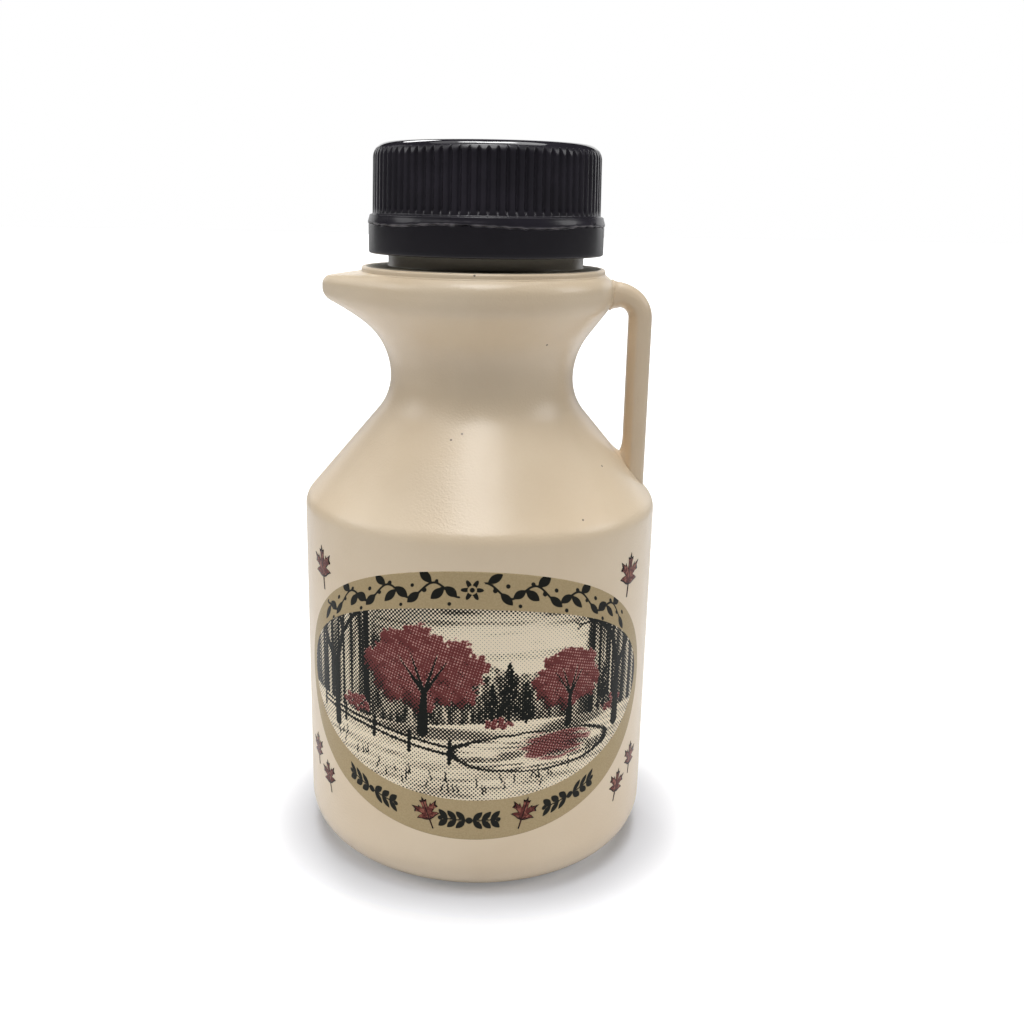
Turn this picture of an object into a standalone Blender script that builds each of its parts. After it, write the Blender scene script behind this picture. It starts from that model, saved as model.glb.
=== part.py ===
"""Maple syrup jug: a small blow-moulded jug with a pouring lip, a loop handle and a ribbed screw cap.

Metres, +Z up. The origin lies on the surface that the jug stands on, under the middle of the body.
The pouring lip points to -X, the handle to +X and the printed front faces -Y.
Every size below is in millimetres and is turned into metres where a mesh is made.
"""

from math import acos, asin, atan2, cos, degrees, hypot, pi, radians, sin

import bmesh
import bpy
from mathutils import Vector

MM = 0.001

# Body
BODY_RADIUS = 31.95
FOOT_CURVE = 7.6
BASE_RECESS_DEPTH = 1.2
BASE_RECESS_RADIUS = 18.0
STANDING_RING_INSIDE = 20.5
SHOULDER_CURVE = 3.8
CONE_ANGLE = 40.3
WAIST_RADIUS = 16.4
WAIST_HEIGHT = 87.1
WAIST_LOWER_CURVE = 9.8

# Flared mouth
WAIST_UPPER_CURVE = 13.0
FLARE_ANGLE = 37.0
RIM_RADIUS = 23.0
RIM_LOWER_CURVE = 2.0
RIM_UPPER_CURVE = 2.4
RIM_UPPER_CENTRE = 102.6
RIM_TOP = 105.0

# Pouring lip
LIP_REACH = 28.6
LIP_UNDER_CURVE = 12.1
LIP_UNDER_ANGLE = 65.0
LIP_NOSE_LOWER_CURVE = 2.3
LIP_NOSE_UPPER_CURVE = 1.6
LIP_NOSE_LOWER_CENTRE = 102.1
LIP_NOSE_UPPER_CENTRE = 102.75
LIP_NOSE_UPPER_ANGLE = 80.0
LIP_SPREAD = 48.0
LIP_TIP_ROUNDING = 3.0
LIP_SIDE_HOLLOW = 2.2

# Collar and neck. The neck stands a little off the body's axis, and the cap and band go with it.
COLLAR_RADIUS = 21.4
COLLAR_TOP = 106.15
COLLAR_EDGE = 0.25
NECK_RADIUS = 16.9
NECK_TOP = 124.6
NECK_CHAMFER = 0.6
NECK_SHIFT = 0.4

# Loop handle
HANDLE_OUTSIDE = 30.1
HANDLE_INSIDE = 25.9
HANDLE_CORNER_X = 23.85
HANDLE_CORNER_Z = 97.6
HANDLE_START_X = 19.0
HANDLE_END_Z = 64.0
HANDLE_HALF_DEPTH = 2.9
HANDLE_RIDGE_SHARE = -0.35

# Screw cap
CAP_RADIUS = 19.85
CAP_TOP = 126.7
CAP_TOP_CURVE = 2.5
CAP_BOTTOM = 113.8
CAP_BORE_RADIUS = 17.2
CAP_BORE_TOP = 124.9
RIB_COUNT = 80
RIB_DEPTH = 0.5
RIB_BOTTOM = 115.7
RIB_TOP = 124.7
RIB_RUN_OUT = 0.45
FLARE_RADIUS = 20.6
FLARE_TOP_RADIUS = 20.2
FLARE_TOP = 115.3

# Tamper band
BAND_RADIUS = 20.5
BAND_BOTTOM = 108.4
BAND_TOP = 113.5
BAND_WALL = 1.5
BAND_EDGE = 0.2
BAND_LIP_RADIUS = 17.2
BAND_LIP_HEIGHT = 1.6

# Fineness
JUG_STEPS = 64
LIP_EXTRA_HALF_ANGLE = 40.0
BAND_STEPS = 96


def arc(centre_r, centre_z, radius, start, end, steps):
    """Points (r, z) along an arc in the profile plane, with the angles in degrees."""
    angles = [radians(start + (end - start) * i / steps) for i in range(steps + 1)]
    return [(centre_r + radius * cos(a), centre_z + radius * sin(a)) for a in angles]


def spread(points, steps):
    """The same line cut again into equal lengths, as steps + 1 points."""
    lengths = [0.0]
    for (r0, z0), (r1, z1) in zip(points, points[1:]):
        lengths.append(lengths[-1] + hypot(r1 - r0, z1 - z0))
    result = []
    place = 0
    for i in range(steps + 1):
        target = lengths[-1] * i / steps
        while place < len(points) - 2 and lengths[place + 1] < target:
            place += 1
        share = (target - lengths[place]) / (lengths[place + 1] - lengths[place])
        (r0, z0), (r1, z1) = points[place], points[place + 1]
        result.append((r0 + (r1 - r0) * share, z0 + (z1 - z0) * share))
    return result


def lower_profile():
    """Outline from the recess in the base up to the waist."""
    waist_centre_r = WAIST_RADIUS + WAIST_LOWER_CURVE
    waist = arc(waist_centre_r, WAIST_HEIGHT, WAIST_LOWER_CURVE, 180 + CONE_ANGLE, 180, 6)
    slope = radians(CONE_ANGLE)
    shoulder_r = BODY_RADIUS - SHOULDER_CURVE
    cone_r, cone_z = waist[0]
    shoulder_z = cone_z - (SHOULDER_CURVE - (cone_r - shoulder_r) * cos(slope)) / sin(slope)
    foot = arc(BODY_RADIUS - FOOT_CURVE, FOOT_CURVE, FOOT_CURVE, -90, 0, 5)
    shoulder = arc(shoulder_r, shoulder_z, SHOULDER_CURVE, 0, CONE_ANGLE, 4)
    base = [(BASE_RECESS_RADIUS, BASE_RECESS_DEPTH), (STANDING_RING_INSIDE, 0.0)]
    return base + foot + shoulder + waist


def rim_profile():
    """The flared mouth away from the lip: under side, rounded rim and top, as three lines."""
    slope = radians(FLARE_ANGLE)
    waist_centre_r = WAIST_RADIUS + WAIST_UPPER_CURVE
    flare = arc(waist_centre_r, WAIST_HEIGHT, WAIST_UPPER_CURVE, 180, 180 - FLARE_ANGLE, 12)
    rim_r = RIM_RADIUS - RIM_LOWER_CURVE
    flare_r, flare_z = flare[-1]
    rim_z = flare_z + (RIM_LOWER_CURVE - (flare_r - rim_r) * cos(slope)) / sin(slope)
    lower = arc(rim_r, rim_z, RIM_LOWER_CURVE, -FLARE_ANGLE, 0, 6)
    upper_r = RIM_RADIUS - RIM_UPPER_CURVE
    end_angle = degrees(acos((COLLAR_RADIUS - upper_r + 0.4) / RIM_UPPER_CURVE))
    upper = arc(upper_r, RIM_UPPER_CENTRE, RIM_UPPER_CURVE, 0, end_angle, 8)
    return flare + lower[:1], lower + upper, [upper[-1], (COLLAR_RADIUS, RIM_TOP)]


def lip_profile():
    """The same three lines through the tip of the pouring lip."""
    under_centre_r = WAIST_RADIUS + LIP_UNDER_CURVE
    under = arc(under_centre_r, WAIST_HEIGHT, LIP_UNDER_CURVE, 180, 180 - LIP_UNDER_ANGLE, 12)
    lower_r = LIP_REACH - LIP_NOSE_LOWER_CURVE
    upper_r = LIP_REACH - LIP_NOSE_UPPER_CURVE
    lower = arc(lower_r, LIP_NOSE_LOWER_CENTRE, LIP_NOSE_LOWER_CURVE, -LIP_UNDER_ANGLE, 0, 6)
    upper = arc(upper_r, LIP_NOSE_UPPER_CENTRE, LIP_NOSE_UPPER_CURVE, 0, LIP_NOSE_UPPER_ANGLE, 8)
    return under + lower[:1], lower + upper, [upper[-1], (COLLAR_RADIUS, RIM_TOP)]


def lip_share(angle):
    """How far a ring is drawn out towards the lip, from 0 to 1, at an angle from the lip's axis.

    In plan the lip is a beak with a small round tip and slightly hollow sides that run out on the
    round rim. The share falls as a power of the angle left to the end of the lip's spread.
    """
    angle = abs(degrees(atan2(sin(angle), cos(angle))))
    if angle >= LIP_SPREAD:
        return 0.0
    from_tip = hypot(angle, LIP_TIP_ROUNDING) - LIP_TIP_ROUNDING
    whole = hypot(LIP_SPREAD, LIP_TIP_ROUNDING) - LIP_TIP_ROUNDING
    return (1 - from_tip / whole) ** LIP_SIDE_HOLLOW


def jug_angles():
    """Angles round the jug, twice as close together near the lip, which lies at 180 degrees."""
    step = 360 / JUG_STEPS
    angles = []
    for i in range(JUG_STEPS):
        angle = i * step
        angles.append(angle)
        if abs(angle + step / 2 - 180) < LIP_EXTRA_HALF_ANGLE:
            angles.append(angle + step / 2)
    return [radians(a) for a in angles]


def jug_rings():
    """Rings of points from the base up to the top of the neck."""
    angles = jug_angles()
    shares = [lip_share(a - pi) for a in angles]

    def ring(r, z, shift=0.0):
        return [Vector((shift + r * cos(a), r * sin(a), z)) for a in angles]

    rings = [ring(r, z) for r, z in lower_profile()]
    for plain, lip, steps in zip(rim_profile(), lip_profile(), (9, 9, 2)):
        for (r0, z0), (r1, z1) in list(zip(spread(plain, steps), spread(lip, steps)))[1:]:
            points = []
            for a, share in zip(angles, shares):
                r = r0 + (r1 - r0) * share
                points.append(Vector((r * cos(a), r * sin(a), z0 + (z1 - z0) * share)))
            rings.append(points)
    rings.append(ring(COLLAR_RADIUS, COLLAR_TOP - COLLAR_EDGE))
    rings.append(ring(COLLAR_RADIUS - COLLAR_EDGE, COLLAR_TOP))
    rings.append(ring(NECK_RADIUS, COLLAR_TOP, NECK_SHIFT))
    rings.append(ring(NECK_RADIUS, NECK_TOP - NECK_CHAMFER, NECK_SHIFT))
    rings.append(ring(NECK_RADIUS - NECK_CHAMFER, NECK_TOP, NECK_SHIFT))
    return rings


def handle_section():
    """Section of the handle, as places across its thickness and along the jug's Y axis.

    A ridge runs along each side nearer the inner face, with flatter sides on either hand of it.
    """
    half = (HANDLE_OUTSIDE - HANDLE_INSIDE) / 2
    corners = [(1, 0.42), (0.72, 0.76), (0.2, 0.94), (HANDLE_RIDGE_SHARE, 1.0), (-0.72, 0.74), (-1, 0.36)]
    side = [(across * half, share * HANDLE_HALF_DEPTH) for across, share in corners]
    return side + [(across, -depth) for across, depth in reversed(side)]


def handle_path():
    """Places (x, z, angle) down the middle of the handle, from inside the rim to inside the shoulder."""
    radius = (HANDLE_OUTSIDE + HANDLE_INSIDE) / 2 - HANDLE_CORNER_X
    places = [(HANDLE_START_X, HANDLE_CORNER_Z + radius, 90.0)]
    for angle in range(90, -1, -15):
        x = HANDLE_CORNER_X + radius * cos(radians(angle))
        places.append((x, HANDLE_CORNER_Z + radius * sin(radians(angle)), angle))
    return places + [(HANDLE_CORNER_X + radius, HANDLE_END_Z, 0.0)]


def handle_rings():
    """Rings of the handle's section, square to its path."""
    rings = []
    for x, z, angle in handle_path():
        out = Vector((cos(radians(angle)), 0, sin(radians(angle))))
        rings.append([Vector((x, depth, z)) + across * out for across, depth in handle_section()])
    return rings


def cap_rings():
    """Rings of the cap from its bore, round the lower edge, up the ribs and over the top."""
    plain = [2 * pi * i / RIB_COUNT for i in range(RIB_COUNT)]

    def ring(r, z):
        return [Vector((NECK_SHIFT + r * cos(a), r * sin(a), z)) for a in plain]

    def ribbed(crest, groove, crest_z, groove_z):
        """Each rib has a flat crest with a groove after it."""
        points = []
        for a in plain:
            for share, r, z in ((-0.28, crest, crest_z), (0.28, crest, crest_z), (0.5, groove, groove_z)):
                angle = a + share * 2 * pi / RIB_COUNT
                points.append(Vector((NECK_SHIFT + r * cos(angle), r * sin(angle), z)))
        return points

    groove = CAP_RADIUS - RIB_DEPTH
    top_r = CAP_RADIUS - CAP_TOP_CURVE
    top_z = CAP_TOP - CAP_TOP_CURVE
    start = degrees(asin((RIB_TOP - top_z) / CAP_TOP_CURVE))
    rounding = arc(top_r, top_z, CAP_TOP_CURVE, start, 90, 4)
    rings = [ring(CAP_BORE_RADIUS, CAP_BORE_TOP), ring(CAP_BORE_RADIUS, CAP_BOTTOM)]
    rings += [ring(FLARE_RADIUS, CAP_BOTTOM), ring(FLARE_RADIUS, CAP_BOTTOM + 0.5)]
    rings += [ring(FLARE_TOP_RADIUS, FLARE_TOP), ring(CAP_RADIUS, RIB_BOTTOM - 0.15)]
    rings.append(ribbed(CAP_RADIUS, groove, RIB_BOTTOM - 0.1, RIB_BOTTOM + RIB_RUN_OUT))
    rings.append(ribbed(CAP_RADIUS, groove, top_z, RIB_TOP - RIB_RUN_OUT))
    rings.append(ribbed(rounding[0][0], rounding[0][0] - 0.02, RIB_TOP, RIB_TOP + 0.02))
    rings += [ring(r, z) for r, z in rounding[1:]]
    return rings


def band_rings():
    """Rings of the tamper band: its wall, with a short lip turned in under the neck's bead."""
    profile = [
        (BAND_RADIUS - BAND_WALL, BAND_TOP),
        (BAND_RADIUS - BAND_WALL, BAND_BOTTOM + BAND_LIP_HEIGHT),
        (BAND_LIP_RADIUS, BAND_BOTTOM + BAND_LIP_HEIGHT - 0.5),
        (BAND_LIP_RADIUS, BAND_BOTTOM + 0.4),
        (BAND_RADIUS - BAND_WALL, BAND_BOTTOM),
        (BAND_RADIUS - BAND_EDGE, BAND_BOTTOM),
        (BAND_RADIUS, BAND_BOTTOM + BAND_EDGE),
        (BAND_RADIUS, BAND_TOP - BAND_EDGE),
        (BAND_RADIUS - BAND_EDGE, BAND_TOP),
    ]
    angles = [2 * pi * i / BAND_STEPS for i in range(BAND_STEPS)]
    return [[Vector((NECK_SHIFT + r * cos(a), r * sin(a), z)) for a in angles] for r, z in profile]


def bridge(mesh, lower, upper):
    """Joins two rings of vertices, where the longer may hold a whole number for each of the shorter."""
    count = max(len(lower), len(upper))
    for i in range(count):
        a, b = lower[i * len(lower) // count], lower[(i + 1) * len(lower) // count % len(lower)]
        c, d = upper[(i + 1) * len(upper) // count % len(upper)], upper[i * len(upper) // count]
        corners = [v for v, before in zip((a, b, c, d), (d, a, b, c)) if v is not before]
        mesh.faces.new(corners)


def add_solid(name, rings, ends):
    """An object from rings of points in millimetres. ends is fan, flat or loop for how it is closed."""
    mesh = bmesh.new()
    rows = [[mesh.verts.new(point * MM) for point in ring] for ring in rings]
    for lower, upper in zip(rows, rows[1:]):
        bridge(mesh, lower, upper)
    if ends == "loop":
        bridge(mesh, rows[-1], rows[0])
    else:
        for row in (rows[0], rows[-1]):
            if ends == "flat":
                mesh.faces.new(row)
                continue
            middle = sum((v.co for v in row), Vector()) / len(row)
            centre = mesh.verts.new(middle)
            for v, after in zip(row, row[1:] + row[:1]):
                mesh.faces.new((v, after, centre))
    bmesh.ops.triangulate(mesh, faces=mesh.faces)
    bmesh.ops.recalc_face_normals(mesh, faces=mesh.faces)
    data = bpy.data.meshes.new(name)
    mesh.to_mesh(data)
    mesh.free()
    data.shade_smooth()
    data.set_sharp_from_angle(angle=radians(35))
    solid = bpy.data.objects.new(name, data)
    bpy.context.scene.collection.objects.link(solid)
    return solid


def finish(solid, name, colour, roughness):
    """Gives the object its own plastic, with no metal in it."""
    material = bpy.data.materials.new(name)
    material.use_nodes = True
    shader = material.node_tree.nodes["Principled BSDF"]
    shader.inputs["Base Color"].default_value = (*colour, 1)
    shader.inputs["Roughness"].default_value = roughness
    shader.inputs["Metallic"].default_value = 0
    solid.data.materials.append(material)


def make_jug():
    """The moulded jug: one solid of the body, the lip, the collar, the neck and the loop handle."""
    jug = add_solid("jug", jug_rings(), "fan")
    handle = add_solid("handle_form", handle_rings(), "flat")
    handle.hide_render = True
    handle.display_type = "WIRE"
    union = jug.modifiers.new("handle", "BOOLEAN")
    union.operation = "UNION"
    union.object = handle
    finish(jug, "cream_polyethylene", (0.62, 0.52, 0.38), 0.45)


def make_cap():
    """The screw cap, a ribbed cup over the neck."""
    cap = add_solid("cap", cap_rings(), "fan")
    finish(cap, "black_polypropylene", (0.016, 0.015, 0.018), 0.35)


def make_band():
    """The tamper band left on the neck below the cap."""
    band = add_solid("tamper_band", band_rings(), "loop")
    finish(band, "black_polypropylene_band", (0.016, 0.015, 0.018), 0.3)


for old in list(bpy.data.objects):
    bpy.data.objects.remove(old)
make_jug()
make_cap()
make_band()
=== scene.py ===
"""Maple syrup jug: the finished look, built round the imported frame.

Metres, +Z up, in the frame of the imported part: the pouring lip points to -X, the handle to +X and
the printed front faces -Y. Sizes of shapes are in millimetres and become metres where a mesh is
made. Sizes in finishes are in metres, as are the Object coordinates that they read.
"""

import logging
from dataclasses import dataclass
from enum import Enum
from itertools import product

import bpy
import numpy as np
from mathutils import Matrix, Vector


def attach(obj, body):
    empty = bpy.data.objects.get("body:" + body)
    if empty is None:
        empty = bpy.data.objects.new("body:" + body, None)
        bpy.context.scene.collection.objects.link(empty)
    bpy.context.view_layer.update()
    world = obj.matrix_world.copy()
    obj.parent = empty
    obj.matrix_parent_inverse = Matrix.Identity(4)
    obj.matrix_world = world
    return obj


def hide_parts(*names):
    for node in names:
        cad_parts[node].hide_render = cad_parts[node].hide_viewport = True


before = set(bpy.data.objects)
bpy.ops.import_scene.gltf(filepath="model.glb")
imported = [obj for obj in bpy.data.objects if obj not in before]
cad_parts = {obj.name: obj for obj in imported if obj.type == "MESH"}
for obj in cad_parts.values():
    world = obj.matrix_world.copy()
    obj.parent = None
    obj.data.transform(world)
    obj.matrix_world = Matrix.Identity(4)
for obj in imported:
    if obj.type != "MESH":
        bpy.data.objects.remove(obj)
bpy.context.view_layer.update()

Array = np.ndarray
Colour = tuple[float, float, float]
Place = tuple[float, float, float]
Point = tuple[float, float]
Paint = bpy.types.NodeSocket | Colour

MM = 0.001

# Sizes that several pieces share, in millimetres
WALL_RADIUS = 31.95
NECK_SHIFT = 0.4
OVAL_HALF = (37.1, 24.2)
PICTURE_HALF = (35.5, 17.25)
PICTURE_RISE = 0.55
FAR = 9.0

log = logging.getLogger("syrup_jug")


class Slot(Enum):
    """The material slots of the part's record."""

    JUG = "jug_plastic"
    CAP = "cap_plastic"


def srgb(red: float, green: float, blue: float) -> Colour:
    """A colour as linear light, by the usual curve of screens: a straight toe and a power of 2.4.

    Args:
        red: screen value of red from 0 to 255.
        green: screen value of green from 0 to 255.
        blue: screen value of blue from 0 to 255.

    Returns:
        The three parts from 0 to 1.
    """
    screen = np.array((red, green, blue)) / 255
    linear = np.where(screen <= 0.04045, screen / 12.92, ((screen + 0.055) / 1.055) ** 2.4)
    return tuple(float(part) for part in linear)


# Shader maths


class Value:
    """A shader socket that holds a number and takes part in Python arithmetic."""

    def __init__(self, graph: "Graph", socket: bpy.types.NodeSocket) -> None:
        """Keeps the socket and the graph that its nodes are added to."""
        self.graph = graph
        self.socket = socket

    def __add__(self, other: "Number") -> "Value":
        """Self plus other."""
        return self.graph.math("ADD", self, other)

    def __sub__(self, other: "Number") -> "Value":
        """Self less other."""
        return self.graph.math("SUBTRACT", self, other)

    def __rsub__(self, other: "Number") -> "Value":
        """Other less self."""
        return self.graph.math("SUBTRACT", other, self)

    def __mul__(self, other: "Number") -> "Value":
        """Self times other."""
        return self.graph.math("MULTIPLY", self, other)

    def __truediv__(self, other: "Number") -> "Value":
        """Self divided by other."""
        return self.graph.math("DIVIDE", self, other)

    def __pow__(self, other: "Number") -> "Value":
        """Self raised to other."""
        return self.graph.math("POWER", self, other)

    def __abs__(self) -> "Value":
        """Self without its sign."""
        return self.graph.math("ABSOLUTE", self)

    __radd__ = __add__
    __rmul__ = __mul__

    def cosine(self) -> "Value":
        """The cosine of self, in radians."""
        return self.graph.math("COSINE", self)

    def least(self, other: "Number") -> "Value":
        """The lesser of self and other."""
        return self.graph.math("MINIMUM", self, other)

    def ramp(self, start: float, end: float, low: float = 0.0, high: float = 1.0) -> "Value":
        """A smooth step as self goes from one value to another.

        Args:
            start: where the step starts.
            end: where it ends.
            low: result up to the start.
            high: result from the end on.

        Returns:
            The value between low and high.
        """
        inputs = {"Value": self, "From Min": start, "From Max": end, "To Min": low, "To Max": high}
        node = self.graph.node("MapRange", {"interpolation_type": "SMOOTHSTEP"}, inputs)
        return Value(self.graph, node.outputs["Result"])


Number = Value | float


class Graph:
    """The nodes of one material or world."""

    def __init__(self, owner: bpy.types.Material | bpy.types.World) -> None:
        """Takes over a new material or world, with no nodes.

        Args:
            owner: the material or world.
        """
        self.owner = owner
        owner.use_nodes = True
        self.tree = owner.node_tree
        self.tree.nodes.clear()

    def node(
        self,
        kind: str,
        settings: dict[str, object] | None = None,
        inputs: dict[str, object] | None = None,
    ) -> bpy.types.Node:
        """Adds a node.

        Args:
            kind: the node's type, without its ShaderNode prefix.
            settings: the node's own properties, which are set first.
            inputs: a value, a socket or a Value for each socket, named by its name or identifier.

        Returns:
            The node.
        """
        node = self.tree.nodes.new("ShaderNode" + kind)
        for name, setting in (settings or {}).items():
            setattr(node, name, setting)
        for name, given in (inputs or {}).items():
            socket = next(s for s in node.inputs if name in (s.identifier, s.name))
            source = given.socket if isinstance(given, Value) else given
            if isinstance(source, bpy.types.NodeSocket):
                self.tree.links.new(source, socket)
            else:
                socket.default_value = source
        return node

    def math(self, operation: str, *values: "Number") -> Value:
        """A Math node.

        Args:
            operation: the node's operation.
            values: its one, two or three inputs.

        Returns:
            The result.
        """
        names = ("Value", "Value_001", "Value_002")
        node = self.node("Math", {"operation": operation}, dict(zip(names, values)))
        return Value(self, node.outputs["Value"])

    def place(self) -> bpy.types.NodeSocket:
        """The Object coordinates, in metres."""
        return self.node("TexCoord").outputs["Object"]

    def attribute(self, name: str) -> bpy.types.NodeSocket:
        """A vector stored on the mesh."""
        return self.node("Attribute", {"attribute_name": name}).outputs["Vector"]

    def split(self, vector: bpy.types.NodeSocket) -> tuple[Value, Value, Value]:
        """The three parts of a vector."""
        parts = self.node("SeparateXYZ", inputs={"Vector": vector}).outputs
        return Value(self, parts["X"]), Value(self, parts["Y"]), Value(self, parts["Z"])

    def noise(self, vector: bpy.types.NodeSocket, scale: float, detail: float = 2.0) -> Value:
        """Soft noise around one half, with scale bumps to the metre or to the unit of the vector."""
        inputs = {"Vector": vector, "Scale": scale, "Detail": detail}
        return Value(self, self.node("TexNoise", inputs=inputs).outputs["Fac"])

    def stretch(self, vector: bpy.types.NodeSocket, scale: Place) -> bpy.types.NodeSocket:
        """The vector times a scale for each axis."""
        inputs = {"Vector": vector, "Vector_001": scale}
        return self.node("VectorMath", {"operation": "MULTIPLY"}, inputs).outputs["Vector"]

    def distance(self, vector: bpy.types.NodeSocket, point: Place) -> Value:
        """How far the vector is from a fixed point."""
        inputs = {"Vector": vector, "Vector_001": point}
        return Value(self, self.node("VectorMath", {"operation": "DISTANCE"}, inputs).outputs["Value"])

    def mix(self, share: Number, first: Paint, second: Paint) -> bpy.types.NodeSocket:
        """A colour that goes from one to another.

        Args:
            share: 0 for the first colour and 1 for the second.
            first: a colour or a socket that holds one.
            second: another.

        Returns:
            The socket of the mixed colour.
        """
        colours = [(*c, 1.0) if isinstance(c, tuple) else c for c in (first, second)]
        inputs = {"Factor_Float": share, "A_Color": colours[0], "B_Color": colours[1]}
        node = self.node("Mix", {"data_type": "RGBA"}, inputs)
        return next(s for s in node.outputs if s.identifier == "Result_Color")

    def finish(self, colour: Paint, roughness: Number, height: Value, others: dict[str, object]) -> None:
        """Joins colour, roughness and relief to the shader.

        Args:
            colour: socket of the base colour.
            roughness: roughness of the surface.
            height: relief in metres.
            others: what the shader's other sockets get.
        """
        bump = self.node("Bump", inputs={"Strength": 1.0, "Distance": 1.0, "Height": height})
        varying = {"Base Color": colour, "Roughness": roughness, "Normal": bump.outputs["Normal"]}
        shader = self.node("BsdfPrincipled", inputs=varying | others)
        self.node("OutputMaterial", inputs={"Surface": shader.outputs["BSDF"]})


# Finishes


@dataclass(frozen=True)
class Finish:
    """A look, which can make any number of materials."""

    def build(self, name: str) -> bpy.types.Material:
        """Makes a material.

        Args:
            name: the material's name.

        Returns:
            The material.
        """
        graph = Graph(bpy.data.materials.new(name))
        self.nodes(graph)
        return graph.owner

    def nodes(self, graph: Graph) -> None:
        """Adds the nodes of the look to a material."""
        raise NotImplementedError


@dataclass(frozen=True)
class CreamPlastic(Finish):
    """Satin cream polyethylene with a fine pebble grain, soft waves and a parting line.

    Round the neck's foot and on the collar's top it is painted darker: a painted shade for the
    shadow under the band. On the collar's top inside that painted shade its roughness rises; away
    from there it stays under 0.27. The denoiser takes rougher and smoother parts apart near there,
    and leaves crisp patches where they meet.
    """

    colour: Colour = srgb(237, 218, 190)
    shade: Colour = srgb(228, 206, 175)
    # painted shade: from neck_start up and inside neck_radius the colour goes to this darker one, in place
    # of the shadow under the band
    painted_neck_shade: Colour = srgb(139, 133, 120)
    neck_start: float = 0.10595
    neck_step: float = 0.0002
    neck_radius: float = 0.0204
    neck_fade: float = 0.0005
    # extra roughness on the collar's top inside the painted shade, fading out between these two heights
    rough_ring_start: float = 0.1062
    rough_ring_end: float = 0.1064
    fleck: Colour = srgb(70, 45, 35)
    fleck_radius: float = 0.00012
    cloud_scale: float = 48.0
    grain_scale: float = 2600.0
    grain_height: float = 0.000045
    wave_scale: float = 120.0
    wave_height: float = 0.00006
    seam_half_width: float = 0.00018
    seam_height: float = 0.00007
    roughness: float = 0.243
    roughness_spread: float = 0.03
    flecks: tuple[Place, ...] = ()

    def ground(self, graph: Graph) -> tuple[bpy.types.NodeSocket, Value, Value]:
        """The bare plastic.

        Args:
            graph: the material that the nodes are added to.

        Returns:
            Its colour, its roughness and its relief in metres.
        """
        place = graph.place()
        cloud = graph.noise(place, self.cloud_scale, 3.0)
        grain = graph.noise(place, self.grain_scale, 2.0)
        wave = graph.noise(place, self.wave_scale, 1.0)
        colour = graph.mix(cloud.ramp(0.35, 0.7) * 0.6 + grain * 0.15, self.colour, self.shade)
        if self.flecks:
            spots = [graph.distance(place, tuple(part * MM for part in fleck)) for fleck in self.flecks]
            nearest = spots[0]
            for spot in spots[1:]:
                nearest = nearest.least(spot)
            spotted = nearest.ramp(self.fleck_radius, 2 * self.fleck_radius, 0.8, 0.0)
            colour = graph.mix(spotted, colour, self.fleck)
        along, across, up = graph.split(place)
        # painted shade round the neck's foot and on the collar's top, in place of the band's shadow
        above = up.ramp(self.neck_start, self.neck_start + self.neck_step)
        outwards = (along**2 + across**2) ** 0.5
        within = outwards.ramp(self.neck_radius, self.neck_radius + self.neck_fade, 0.9, 0.0)
        colour = graph.mix(above * within, colour, self.painted_neck_shade)
        # rougher on the collar's top inside the painted shade, which spreads the grazing reflection there
        rough_ring = above * within * up.ramp(self.rough_ring_start, self.rough_ring_end, 0.4, 0.0)
        roughness = cloud * self.roughness_spread + rough_ring + self.roughness
        seam = abs(across).ramp(0.0, self.seam_half_width, self.seam_height, 0.0)
        height = grain * self.grain_height + wave * self.wave_height + seam
        return colour, roughness, height

    def nodes(self, graph: Graph) -> None:
        """Adds the nodes of the bare plastic."""
        graph.finish(*self.ground(graph), {"IOR": 1.5})


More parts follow.
